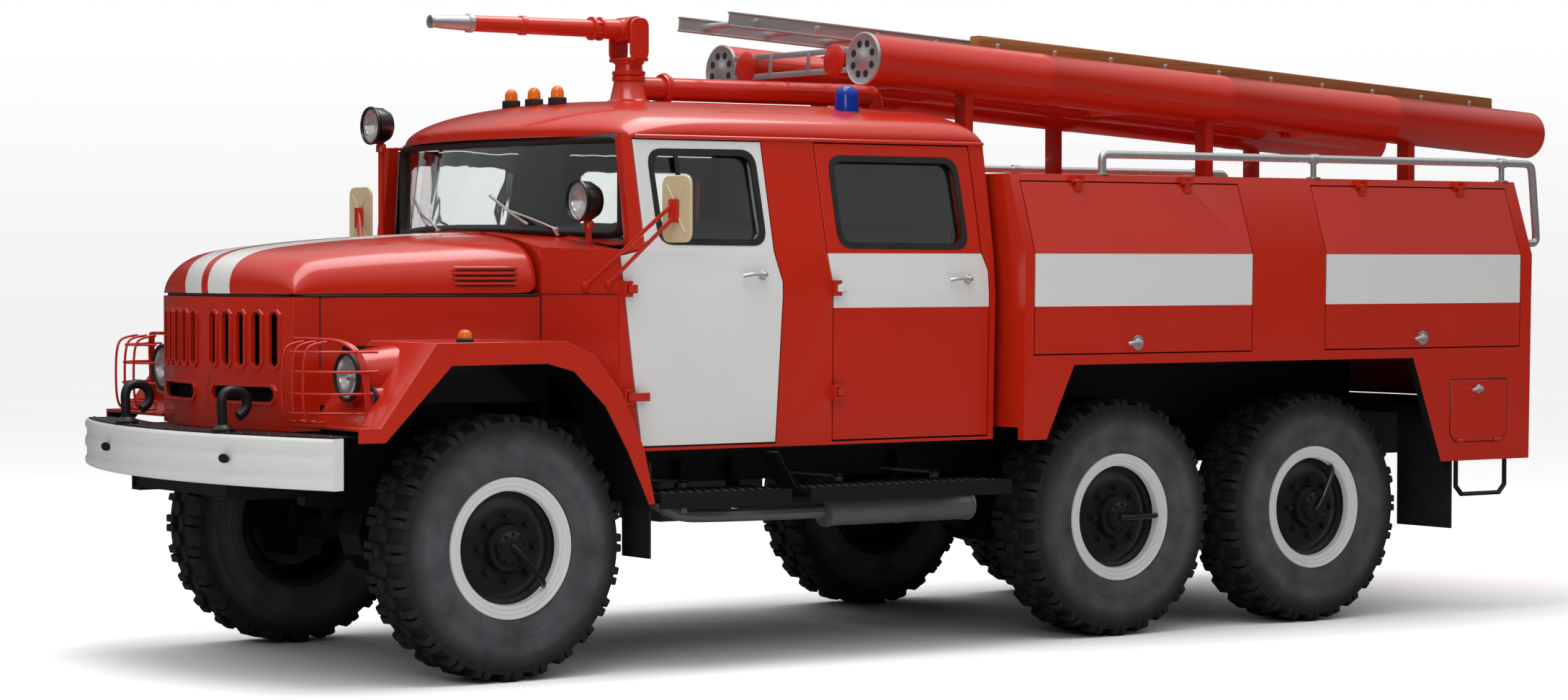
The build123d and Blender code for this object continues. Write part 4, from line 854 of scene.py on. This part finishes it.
# Painted shade: the cab's tub, dashboard, bench boxes and the roof's inner sheet are painted dark grey for
# the shade inside the cab.
cab_shade_grey = enamel("cab_inner_painted_shade_grey", "#242425", roughness=0.55, gloss=0.0)
roof.data.materials.append(cab_shade_grey)
paint_nodes(cab_shade_grey, "cab_tub", "dashboard")
bm = bmesh.new()
for side, sign in SIDES:
    add_tube(bm, [at(sign * 1008, behind, 2282) for behind in (640, 1400, 2548)], 0.009)
piece("roof_gutters", bm, red_enamel, "chassis")

# Windscreen and wipers: one bowed pane of clear glass, held to the cab by a thick black rubber seal, with two
# chromed wipers on pivots below it.
SCREEN_HALF = 925
SCREEN_LOW, SCREEN_RISE = 1850, 435
SCREEN_FRONT, SCREEN_RAKE, SCREEN_SIDE = 370, 100, 640
SCREEN_EDGE = [
    # left of the middle, height
    (0, 1892), (300, 1890), (600, 1880), (800, 1870), (922, 1866), (922, 1950), (922, 2060), (922, 2190),
    (922, 2276), (790, 2278), (600, 2278), (300, 2278)]


def on_screen(left, height, lift=0):
    """A point on the windscreen's outer face, or lifted off it towards the front."""
    front = SCREEN_FRONT + SCREEN_RAKE * (height - SCREEN_LOW) / SCREEN_RISE
    return at(left, front + (SCREEN_SIDE - front) * (left / SCREEN_HALF) ** 2 - lift, height)


clear_glass, tree, where = start_material("window_clear_glass")
dust = add_node(tree, "TexNoise", {"Vector": where, "Scale": 5, "Detail": 6})
rough = add_node(tree, "MapRange", {"Value": dust.outputs["Fac"], "To Min": 0.0, "To Max": 0.05})
end_material(clear_glass, add_node(tree, "BsdfPrincipled", {
    "Base Color": linear("#F8FBFA"), "Roughness": rough.outputs[0], "Transmission Weight": 1.0, "IOR": 1.45}))
panel("windscreen", clear_glass, "chassis", 1)
bm = bmesh.new()
for lift, radius in ((0, 0.022), (14, 0.012)):
    right_half = [(-left, height) for left, height in reversed(SCREEN_EDGE)]
    add_tube(bm, [on_screen(left, height, lift)
                  for left, height in SCREEN_EDGE + [(0, 2278)] + right_half], radius)
piece("windscreen_seal", bm, seal_rubber, "chassis", 60)
bm = bmesh.new()
for pivot, tip in ((640, 330), (-150, -460)):
    add_bar(bm, on_screen(pivot, 1865, 6), on_screen(pivot, 1892, 26), 0.014)
    add_tube(bm, [on_screen(left, height, lift) for left, height, lift in (
        (pivot, 1888, 22), ((pivot * 2 + tip) / 3, 1930, 26), (tip, 1980, 20))], 0.005)
    add_tube(bm, [on_screen(tip + left, height, 13) for left, height in (
        (150, 1910), (20, 1970), (-120, 2040))], 0.007)
piece("wipers", bm, bright_steel, "chassis")

# Benches: two full-width seats, with covers sewn of dark leathercloth over foam, on folded steel boxes that
# stand on the cab floor.
CUSHION_CHANNEL = 235


def add_cushion(bm, half_width, start, end, low, high, crown):
    """A crowned cushion with sewn channels across its top and sides that pull in between its corners."""
    bmesh.ops.create_cube(bm, size=2)
    bmesh.ops.subdivide_edges(bm, edges=bm.edges[:], cuts=15, use_grid_fill=True)
    for corner in bm.verts:
        u, v, w = corner.co
        swell = (1 - u ** 4) * (1 - v ** 4)
        seam = abs(math.sin(math.pi * u * half_width / CUSHION_CHANNEL)) ** 0.5
        pull = 1 - 0.02 * (1 - w * w)
        top = high - crown + crown * swell * (0.55 + 0.45 * seam) if w > 0 else low
        height = low + (top - low) * (w + 1) / 2
        corner.co = at(u * half_width * pull, (start + end) / 2 + v * (end - start) / 2 * pull, height)


leathercloth, tree, where = start_material("seat_dark_leathercloth_sewn")
cells = add_node(tree, "TexVoronoi", {"Vector": where, "Scale": 320})
wear = add_node(tree, "TexNoise", {"Vector": where, "Scale": 6, "Detail": 4})
shade = mixed(tree, wear.outputs["Fac"], linear("#1D1C1C"), linear("#343231"))
bump = add_node(tree, "Bump", {"Height": cells.outputs["Distance"], "Strength": 0.25, "Distance": 0.001})
end_material(leathercloth, add_node(tree, "BsdfPrincipled", {
    "Base Color": shade, "Roughness": 0.55, "Normal": bump.outputs[0]}))
for row_name, start in (("front", 930), ("rear", 1900)):
    bm = bmesh.new()
    span_box(bm, (-930, 930), (start + 5, start + 515), (1041, 1366), 0.01)
    # The bench boxes take the cab's painted shade grey.
    base = piece(f"bench_box_{row_name}", bm, cab_shade_grey, "chassis")
    if row_name == "front":
        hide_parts("seats")
    bm = bmesh.new()
    add_cushion(bm, 935, start - 15, start + 420, 1368, 1462, 28)
    cushion = piece(f"bench_cushion_{row_name}", bm, leathercloth, "chassis", 60)
    bm = bmesh.new()
    add_cushion(bm, 930, 0, 500, 0, 78, 22)
    tip_back = Matrix.Translation(at(0, start + 508, 1432)) @ Matrix.Rotation(math.radians(81), 4, "X")
    for corner in bm.verts:
        corner.co = tip_back @ (corner.co - at(0, 0, 0))
    back = piece(f"bench_back_{row_name}", bm, leathercloth, "chassis", 60)
    for pad in (cushion, back):
        pad.modifiers.new("foam", "SUBSURF").render_levels = 1

# Doors: pressed steel shells, white in front and red with a white band behind, their panes in black rubber,
# with a chromed lever handle on each.
WINDOWS = {"front": [(712, 2215), (735, 1836), (1272, 1832), (1248, 2218)],
           "rear": [(1672, 2202), (1690, 1822), (2396, 1818), (2370, 2202)]}
CORNER_WAYS = ((-1, 1), (-1, -1), (1, -1), (1, 1))
HANDLES = {"front": (1252, 1692), "rear": (2391, 1671)}
LEVER = ((22, 0.1, 0), (27, -0.3, 2), (26, -0.75, 1), (18, -1.0, -6))
BELT = 1785
CAB_SIDE = ((1085, 945), (1100, 1600), (1085, BELT), (1005, 2285))


def skin(side_rows, height):
    """The outer x of a side at a height, from the side's rows of (x, height) in millimetres."""
    for (x_low, low), (x_high, high) in zip(side_rows, side_rows[1:]):
        if low <= height <= high:
            return x_low + (x_high - x_low) * (height - low) / (high - low)


def rounded_outline(corners, radius, steps=6):
    """An outline with each corner drawn as a curve that starts a radius away from it."""
    points = []
    for before, corner, after in zip(corners[-1:] + corners[:-1], corners, corners[1:] + corners[:1]):
        start = corner + (before - corner).normalized() * radius
        end = corner + (after - corner).normalized() * radius
        for index in range(steps + 1):
            part = index / steps
            points.append(start * (1 - part) ** 2 + corner * 2 * part * (1 - part) + end * part ** 2)
    return points


def add_handle(bm, sign, left, behind, height, reach):
    """A lever handle on a round boss, lying along the panel."""
    boss = at(sign * left, behind, height)
    add_turned(bm, boss, OUT * sign, [(-4, 22), (4, 22), (8, 16), (24, 13), (30, 9), (30, 0)], 24)
    add_tube(bm, [boss + (OUT * sign * lift + BACK * run * reach + UP * rise) / 1000
                  for lift, run, rise in LEVER], 0.0085)


# Painted shade: both door paints are dark on their inward and downward faces.
white_lined = enamel(
    "white_enamel_lined", WHITE, bands=[(RED, ("X", 1103, 1145))], shade_colour=INNER_SHADE, roughness=0.3)
banded = enamel("red_enamel_white_band", RED, bands=[(WHITE, ("Z", 1546, BELT))], shade_colour=INNER_SHADE)
for row_name, paint in (("front", white_lined), ("rear", banded)):
    for side, sign in SIDES:
        body = f"{row_name}_door_{side}"
        panel(f"door_{row_name}_{side}", paint, body, 5)
        paint_nodes(clear_glass, f"glass_{row_name}_{side}")
        bm = bmesh.new()
        rings = []
        for grow, radius in ((16, 78), (-12, 58)):
            corners = [Vector((behind + grow * along, height + grow * up))
                       for (behind, height), (along, up) in zip(WINDOWS[row_name], CORNER_WAYS)]
            rings.append([bm.verts.new(at(sign * (skin(CAB_SIDE, height) + 2), behind, height))
                          for behind, height in rounded_outline(corners, radius)])
        for index in range(len(rings[0])):
            bm.faces.new([rings[0][index - 1], rings[0][index], rings[1][index], rings[1][index - 1]])
        bmesh.ops.recalc_face_normals(bm, faces=bm.faces)
        bmesh.ops.solidify(bm, geom=bm.faces[:], thickness=0.012)
        if row_name == "front":
            foot, top = places(sign, [(skin(CAB_SIDE, height) - 8, behind, height)
                                      for behind, height in ((872, 1836), (850, 2215))])
            add_bar(bm, foot, top, 0.011)
        piece(f"door_seal_{row_name}_{side}", bm, seal_rubber, body)
        bm = bmesh.new()
        behind, height = HANDLES[row_name]
        add_handle(bm, sign, skin(CAB_SIDE, height), behind, height, 112)
        piece(f"door_handle_{row_name}_{side}", bm, bright_steel, body)

# Mirrors and spot lamps: tan pressed mirror backs on red twin-tube arms, and black sheet spot lamps on stems
# from the cowl.
MIRROR = (1335, 640, 1968)
MIRROR_ARMS = (((940, 430, 1640), (1322, 620, 1985)), ((1040, 482, 1650), (1334, 622, 1935)))
SPOTS = (("left", 900, 480, 2005), ("right", -850, 470, 2382))
SPOT_SHELL = [(-58, 88), (-62, 84), (-58, 80), (-50, 80), (-46, 86), (0, 84), (34, 66), (52, 36), (58, 0)]
tan_paint = enamel("mirror_back_tan_paint", "#CDBE98", roughness=0.5, gloss=0.05)
mirror_silver = metal("mirror_silvered_glass", "#E6E8EA", 0.06, (200, 200, 200))
for side, sign in SIDES:
    x, behind, height = MIRROR
    bm = bmesh.new()
    corners = [at(sign * (x + 104 * across), behind - 10, height + 140 * up) for across, up in CORNER_WAYS]
    add_prism(bm, rounded_outline(corners, 0.05), BACK * 0.014, 0.003)
    for rise in (-1, 1):
        add_tube(bm, [at(sign * left, behind - 9, height + level) for left, level in (
            (x - 70, -100 * rise), (x - 34, -70 * rise), (x + 34, 70 * rise), (x + 70, 100 * rise))], 0.005)
    mirror = piece(f"mirror_back_{side}", bm, tan_paint, "chassis")
    if side == "left":
        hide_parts("mirrors")
    bm = bmesh.new()
    corners = [at(sign * (x + 95 * across), behind + 4, height + 131 * up) for across, up in CORNER_WAYS]
    add_prism(bm, rounded_outline(corners, 0.045), BACK * 0.004, 0.001)
    piece(f"mirror_glass_{side}", bm, mirror_silver, "chassis")
    bm = bmesh.new()
    for ends in MIRROR_ARMS:
        foot, end = places(sign, ends)
        add_tube(bm, [foot, (foot + end) / 2, end], 0.009)
        add_turned(bm, foot + BACK * 0.004, -BACK, [(-8, 24), (6, 24), (10, 16), (10, 0)], 20)
    add_tube(bm, places(sign, ((1130, 524, 1812), (1180, 540, 1800), (1236, 574, 1840))), 0.006)
    span_box(bm, (sign * 1300, sign * 1360), (612, 630), (1910, 2010), 0.006)
    piece(f"mirror_arm_{side}", bm, red_enamel, "chassis")
lamp_black = enamel("spot_lamp_black_enamel", "#101011", roughness=0.3)
for side, x, behind, height in SPOTS:
    bm = bmesh.new()
    add_turned(bm, at(x, behind, height), BACK, SPOT_SHELL, 40)
    add_turned(bm, at(x, behind - 54, height), BACK, [(0, 90), (-8, 88), (-9, 82), (0, 79)], 40)
    piece(f"spot_lamp_{side}", bm, lamp_black, "chassis", 40)
    bm = bmesh.new()
    add_turned(bm, at(x, behind - 52, height), BACK, [(2, 80), (-4, 60), (-7, 0)], 40)
    piece(f"spot_lens_{side}", bm, clear_lens, "chassis", 60)
    bm = bmesh.new()
    add_turned(bm, at(x, behind - 50, height), BACK, [(0, 79), (16, 62), (28, 30), (30, 0)], 40)
    piece(f"spot_bowl_{side}", bm, bright_steel, "chassis", 60)
    bm = bmesh.new()
    low = 1800 if abs(x) > 860 else 1790
    add_tube(bm, [at(x, behind, level) for level in (low, (low + height) / 2, height - 80)], 0.014)
    add_turned(bm, at(x, behind, height - 92), UP, [(-30, 24), (0, 24), (10, 18), (10, 0)], 20)
    add_turned(bm, at(x, behind, low), UP, [(0, 40), (8, 40), (14, 24), (14, 0)], 20)
    piece(f"spot_stem_{side}", bm, red_enamel, "chassis")

# Rear body: pressed sheet sides on a welded frame, four lids hinged at the roof line with a white band and a
# pressed latch each, a small hatch behind the last wheel, and two rear doors.
LATCHES = {"front": (3278, 1377), "rear": (5133, 1377)}
HATCH_MIDDLE = (5531, 1014)
HATCH = [(5334, 1166), (5728, 1166), (5728, 905), (5690, 862), (5372, 862), (5334, 905)]
BODY_SIDE = ((1235, 700), (1250, BELT), (1130, 2150))
# Painted shade: red enamel that is dark on its inward and downward faces.
red_shaded_inside = enamel("red_enamel_shaded_inside", RED, shade_colour=INNER_SHADE)
panel("body_sides", red_shaded_inside, "chassis", 4)
panel("body_ends", red_enamel, "chassis", 3)
panel("body_deck", red_enamel, "chassis", 3)
# Painted shade: the lockers' core is painted near-black below 1321 mm, over the wheels.
core_grey = enamel(
    "locker_grey_enamel", "#6D7072", bands=[(ARCH_SHADE, ("Z", 0, 1321))], roughness=0.5, gloss=0.05)
paint_nodes(core_grey, "body_core")
for side, sign in SIDES:
    panel(f"rear_door_{side}", red_enamel, f"rear_leaf_{side}", 4)
    for row_name, (behind, height) in LATCHES.items():
        body = f"{row_name}_lid_{side}"
        panel(f"lid_{row_name}_{side}", banded, body, 4)
        bm = bmesh.new()
        add_handle(bm, sign, skin(BODY_SIDE, height), behind, height, 70)
        add_turned(bm, at(sign * skin(BODY_SIDE, height), behind, height), OUT * sign,
                   [(-3, 34), (3, 34), (5, 28), (5, 0)], 32)
        piece(f"lid_latch_{row_name}_{side}", bm, bright_steel, body)
    bm = bmesh.new()
    add_prism(bm, [at(sign * (skin(BODY_SIDE, height) - 2), behind, height) for behind, height in HATCH],
              OUT * sign * 0.006, 0.002)
    for behind in (5400, 5662):
        middle = at(sign * (skin(BODY_SIDE, 870) + 6), behind, 868)
        add_bar(bm, middle - BACK * 0.026, middle + BACK * 0.026, 0.009)
    piece(f"hatch_{side}", bm, red_enamel, "chassis", 40)
    bm = bmesh.new()
    middle, level = HATCH_MIDDLE
    add_prism(bm, [at(sign * (skin(BODY_SIDE, height) - 2), middle + (behind - middle) * 1.025,
                      level + (height - level) * 1.035) for behind, height in HATCH], OUT * sign * 0.0026)
    piece(f"hatch_seam_{side}", bm, seal_rubber, "chassis")
    bm = bmesh.new()
    add_handle(bm, sign, skin(BODY_SIDE, 1120) + 2, 5529, 1120, 60)
    piece(f"hatch_latch_{side}", bm, bright_steel, "chassis")
    bm = bmesh.new()
    add_handle(bm, 1, sign * 70, 5899, 1480, 110)
    quarter_turn = Matrix.Rotation(math.radians(90), 3, "Z")
    bmesh.ops.rotate(bm, cent=at(sign * 70, 5899, 1480), matrix=quarter_turn, verts=bm.verts)
    piece(f"rear_door_handle_{side}", bm, bright_steel, f"rear_leaf_{side}")

# Roof stowage: sheet steel hose tubes with rolled joints in red enamel, closed by perforated alloy plates, on
# welded racks. All of it slopes down to the rear.
TUBE_START, TUBE_END = 2215, 6655
TUBE_HEIGHT, TUBE_REAR_HEIGHT = 2680, 2415
SLOPE = math.atan2(TUBE_HEIGHT - TUBE_REAR_HEIGHT, TUBE_END - TUBE_START)
OUTER_TUBE, INNER_TUBE = 562, 350
TUBES = ((OUTER_TUBE, 120, 4425), (INNER_TUBE, 76, 4080))
TUBE_JOINTS = (1040, 2200, 3360)
RACKS = (2780, 4300, 5700)
PLATE_HOLES = 8


def tilt(bm):
    """Turns what was built level about the tubes' front, down to their slope."""
    turn = Matrix.Rotation(-SLOPE, 3, "X")
    bmesh.ops.rotate(bm, cent=at(0, TUBE_START, TUBE_HEIGHT), matrix=turn, verts=bm.verts)


bm = bmesh.new()
for side, sign in SIDES:
    for left, radius, length in TUBES:
        profile = [(0, 0), (0, radius - 4), (4, radius), (30, radius)]
        for joint in TUBE_JOINTS:
            profile += [(joint + along, radius + rise)
                        for along, rise in ((-26, 0), (-22, 1.8), (22, 1.8), (26, 0))]
        profile += [(length - 4, radius), (length, radius - 4), (length, 0)]
        add_turned(bm, at(sign * left, TUBE_START, TUBE_HEIGHT), BACK, profile, 48)
for behind in RACKS:
    for low, high in ((78, 119), (-60, -20)):
        heights = (TUBE_HEIGHT + low, TUBE_HEIGHT + high)
        span_box(bm, (-OUTER_TUBE, OUTER_TUBE), (behind, behind + 50), heights, 0.004)
    for left in (-250, 250):
        heights = (TUBE_HEIGHT - 60, TUBE_HEIGHT + 119)
        span_box(bm, (left - 16, left + 16), (behind, behind + 50), heights, 0.004)
tilt(bm)
for behind in RACKS:
    top = TUBE_HEIGHT - (behind - TUBE_START) * math.tan(SLOPE)
    for side, sign in SIDES:
        span_box(bm, (sign * 522, sign * 602), (behind, behind + 50), (2149, top), 0.005)
stowage = piece("hose_tubes_rolled", bm, red_enamel, "chassis", 40)
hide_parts("hose_tubes")

plate_alloy = metal("end_plate_brushed_alloy", "#C9CBCC", 0.3, (4, 40, 40))
bm = bmesh.new()
for side, sign in SIDES:
    front = at(sign * OUTER_TUBE, TUBE_START - 4, TUBE_HEIGHT)
    add_turned(bm, front, -BACK, [(-4, 124), (6, 124), (9, 118), (5, 112), (5, 30), (9, 24), (9, 0)], 48)
for height in (TUBE_HEIGHT - 46, TUBE_HEIGHT + 46):
    span_box(bm, (-452, 452), (TUBE_START - 12, TUBE_START - 6), (height - 14, height + 14), 0.002)
for left in (-150, 150):
    heights = (TUBE_HEIGHT - 60, TUBE_HEIGHT + 60)
    span_box(bm, (left - 12, left + 12), (TUBE_START - 14, TUBE_START - 8), heights, 0.002)
tilt(bm)
piece("tube_end_plates", bm, plate_alloy, "chassis")
bm = bmesh.new()
for side, sign in SIDES:
    front = at(sign * OUTER_TUBE, TUBE_START - 9, TUBE_HEIGHT)
    for index in range(PLATE_HOLES):
        spot = front + Matrix.Rotation(math.tau * (index + 0.5) / PLATE_HOLES, 3, BACK) @ UP * 0.074
        add_bar(bm, spot, spot - BACK * 0.0015, 0.017, sides=20)
tilt(bm)
piece("tube_plate_holes", bm, seal_rubber, "chassis")
bm = bmesh.new()
for side, sign in SIDES:
    add_turned(bm, at(sign * INNER_TUBE, TUBE_START, TUBE_HEIGHT), -BACK,
               [(0, 79), (14, 79), (20, 70), (24, 30), (24, 0)], 40)
tilt(bm)
piece("tube_caps", bm, red_enamel, "chassis", 40)

# Ladders: an extruded alloy ladder with flanged stiles and round rungs, and a long varnished wooden beam with
# steel studs beside it.
LADDER = (1700, 6100)
LADDER_LOW, LADDER_HIGH = TUBE_HEIGHT + 120, TUBE_HEIGHT + 190
RUNG_PITCH, RUNG_COUNT = 355, 12
BEAM = (3065, 6600)
STUD_PITCH, STUD_COUNT = 360, 10
ladder_alloy = metal("ladder_extruded_alloy", "#C4C6C6", 0.34, (6, 120, 6))
bm = bmesh.new()
for side, sign in SIDES:
    span_box(bm, (sign * 196, sign * 206), LADDER, (LADDER_LOW, LADDER_HIGH), 0.002)
    for low in (LADDER_LOW, LADDER_HIGH - 9):
        span_box(bm, (sign * 187, sign * 215), LADDER, (low, low + 9), 0.003)
for index in range(RUNG_COUNT):
    behind = LADDER[0] + 150 + index * RUNG_PITCH
    middle = (LADDER_LOW + LADDER_HIGH) / 2
    add_bar(bm, at(-200, behind, middle), at(200, behind, middle), 0.016)
    for side, sign in SIDES:
        add_turned(bm, at(sign * 206, behind, middle), OUT * sign, [(0, 20), (5, 19), (8, 12), (8, 0)], 16)
tilt(bm)
ladder = piece("alloy_ladder", bm, ladder_alloy, "chassis")
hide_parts("ladders")

varnish, tree, where = start_material("beam_varnished_ash_wood")
stretch = add_node(tree, "Mapping", {"Vector": where, "Scale": (70, 2.2, 70)})
years = add_node(tree, "TexNoise", {"Vector": stretch.outputs[0], "Scale": 1.0, "Detail": 6})
shade = mixed(tree, years.outputs["Fac"], linear("#6E3F1C"), linear("#B87D43"))
bump = add_node(tree, "Bump", {"Height": years.outputs["Fac"], "Strength": 0.1, "Distance": 0.001})
end_material(varnish, add_node(tree, "BsdfPrincipled", {
    "Base Color": shade, "Roughness": 0.35, "Normal": bump.outputs[0], "Coat Weight": 0.3}))
bm = bmesh.new()
span_box(bm, (272, 343), BEAM, (TUBE_HEIGHT + 122, TUBE_HEIGHT + 203), 0.008)
add_bar(bm, at(307, BEAM[1] - 10, TUBE_HEIGHT + 160), at(307, BEAM[1] + 18, TUBE_HEIGHT + 160), 0.03, 0.018)
tilt(bm)
piece("wooden_beam", bm, varnish, "chassis")
bm = bmesh.new()
for index in range(STUD_COUNT):
    spot = at(343, BEAM[0] + 120 + index * STUD_PITCH, TUBE_HEIGHT + 160)
    add_turned(bm, spot, OUT, [(-2, 15), (2, 14), (5, 8), (6, 0)], 16)
tilt(bm)
piece("beam_studs", bm, bright_steel, "chassis")

# Hand rails: bent bright steel tube along both edges of the body's roof and down its rear, on posts with
# flanges that are bolted to the roof.
RAIL_X = 1105
RAIL_ROUTE = [
    # distance behind the front axle, height
    (3180, 2150), (3180, 2200), (3182, 2243), (3230, 2245), (3420, 2245), (4528, 2245), (5700, 2245),
    (5960, 2245), (6045, 2243), (6058, 2190), (6074, 2020), (6088, 1900), (6088, 1845), (6030, 1843),
    (5899, 1843)]
rail_steel = metal("rail_bright_steel_tube", "#CFCFCF", 0.22, (50, 8, 50))
bm = bmesh.new()
for side, sign in SIDES:
    add_tube(bm, [at(sign * RAIL_X, behind, height) for behind, height in RAIL_ROUTE], 0.0195)
    for behind in (3180, 4528, 5834):
        add_bar(bm, at(sign * RAIL_X, behind, 2150), at(sign * RAIL_X, behind, 2244), 0.014)
        add_turned(bm, at(sign * RAIL_X, behind, 2150), UP, [(0, 34), (6, 34), (9, 20), (9, 0)], 24)
        if behind > 3180:
            add_bar(bm, at(sign * RAIL_X, behind - 24, 2245), at(sign * RAIL_X, behind + 24, 2245), 0.024)
rails = piece("hand_rails", bm, rail_steel, "chassis", 40)
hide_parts("roof_rails")

# Water monitor: cast and machined alloy in red enamel on a flanged riser, with a bare alloy nozzle. The fork
# turns on the riser and the barrel lifts in it.
MONITOR = 1290
BARREL_HEIGHT = joint_at["monitor_lift"].z * 1000
PIPE_HEIGHT = 2545
PIPE_ROUTE = [
    (MONITOR, PIPE_HEIGHT), (1900, PIPE_HEIGHT), (2500, PIPE_HEIGHT), (2640, PIPE_HEIGHT), (2700, 2540),
    (2700, 2470), (2700, 2300), (2700, 2152)]
PIPE_FLANGE = [(0, 50), (0, 68), (12, 70), (14, 74), (22, 74), (24, 70), (36, 68), (36, 50)]
RISER = [
    (-20, 0), (-20, 108), (22, 108), (28, 92), (34, 86), (112, 68), (118, 76), (138, 76), (140, 70), (140, 0)]
BOLT_COUNT = 6
TURRET_LOW = 2602
TURRET_NECK = [(0, 46), (0, 74), (4, 76), (18, 76), (22, 64), (48, 62), (56, 70), (64, 72), (64, 46)]
BARREL = [
    (-70, 0), (-70, 44), (-62, 52), (60, 52), (66, 46), (150, 44), (156, 54), (166, 54), (170, 42), (196, 42),
    (200, 54), (210, 54), (214, 40), (560, 38), (564, 44), (590, 44), (594, 38), (846, 36), (850, 0)]
NOZZLE = [
    (844, 0), (844, 42), (866, 42), (870, 35), (1000, 29), (1042, 25), (1046, 29), (1060, 29), (1060, 20),
    (1030, 17), (1030, 0)]
bm = bmesh.new()
add_turned(bm, at(0, MONITOR, 2460), UP, RISER, 40)
add_tube(bm, [at(0, behind, height) for behind, height in PIPE_ROUTE], 0.055)
add_turned(bm, at(0, 1466, PIPE_HEIGHT), BACK, PIPE_FLANGE, 36)
riser = piece("monitor_riser_cast", bm, red_enamel, "chassis", 40)
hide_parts("monitor_riser")
bm = bmesh.new()
add_turned(bm, at(0, MONITOR, TURRET_LOW), UP, TURRET_NECK, 40)
span_box(bm, (-95, 95), (MONITOR - 49, MONITOR + 49), (2664, 2683), 0.008)
for side, sign in SIDES:
    corners = [at(sign * 77, MONITOR + 49 * along, 2765 + 98 * up) for along, up in CORNER_WAYS]
    add_prism(bm, rounded_outline(corners, 0.044), OUT * sign * 0.018, 0.003)
turret = piece("monitor_fork_cast", bm, red_enamel, "turret", 40)
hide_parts("monitor_turret")
bm = bmesh.new()
barrel_foot = at(0, MONITOR, BARREL_HEIGHT)
add_turned(bm, barrel_foot, -BACK, BARREL, 40)
add_bar(bm, barrel_foot - OUT * 0.067, barrel_foot + OUT * 0.067, 0.06, sides=40)
add_bar(bm, barrel_foot - OUT * 0.096, barrel_foot + OUT * 0.096, 0.0218, sides=32)
for index in range(BOLT_COUNT):
    bolt = barrel_foot + Matrix.Rotation(math.tau * index / BOLT_COUNT, 3, BACK) @ UP * 0.044
    add_bar(bm, bolt - BACK * 0.168, bolt - BACK * 0.2, 0.006)
barrel = piece("monitor_barrel_cast", bm, red_enamel, "barrel")
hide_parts("monitor_barrel")
nozzle_alloy = metal("nozzle_machined_alloy", "#C8CACB", 0.22, (40, 3, 40))
bm = bmesh.new()
add_turned(bm, barrel_foot, -BACK, NOZZLE, 40)
piece("monitor_nozzle", bm, nozzle_alloy, "barrel")

# Roof lamps: three amber markers on the brow and two blue beacons, moulded plastic lenses on black rubber
# bases, which are screwed to the roof.
MARKERS = (-194, 0, 194)
blue_lens = tinted_lens("beacon_blue_moulded_plastic", "#1A3AA8", 0.3, 6, 0.04)
for side, sign in SIDES:
    small_lamp("beacon", side, at(sign * 745, 1975, 2405), UP,
               [(-45, 64), (8, 64), (16, 60), (22, 54), (22, 0)],
               [(16, 55), (90, 53), (112, 50), (128, 38), (137, 18), (138, 0)], blue_lens, 36)
bm = bmesh.new()
for x in MARKERS:
    span_box(bm, (x - 33, x + 33), (745, 807), (2440, 2482), 0.006)
piece("roof_marker_bases", bm, seal_rubber, "chassis")
bm = bmesh.new()
for x in MARKERS:
    add_turned(bm, at(x, 776, 2480), UP, [(0, 30), (28, 29), (44, 22), (52, 10), (54, 0)], 28)
piece("roof_marker_lenses", bm, amber_lens, "chassis", 60)

# Tail lamps: a red and an amber lens of moulded plastic at each rear corner of the body, on black rubber
# bases that are screwed to the end wall.
TAIL_LAMPS = ((1300, "stop", "#B40E0E"), (1190, "turn", "#D8700C"))
for height, job, colour in TAIL_LAMPS:
    tail_lens = tinted_lens(f"tail_{job}_moulded_plastic", colour, 0.3, 5, 0.05)
    for side, sign in SIDES:
        small_lamp("tail", f"{job}_{side}", at(sign * 1140, 5896, height), BACK,
                   [(0, 50), (12, 50), (18, 46), (18, 40), (12, 0)],
                   [(12, 42), (24, 40), (32, 30), (35, 14), (36, 0)], tail_lens, 32)

low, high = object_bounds()
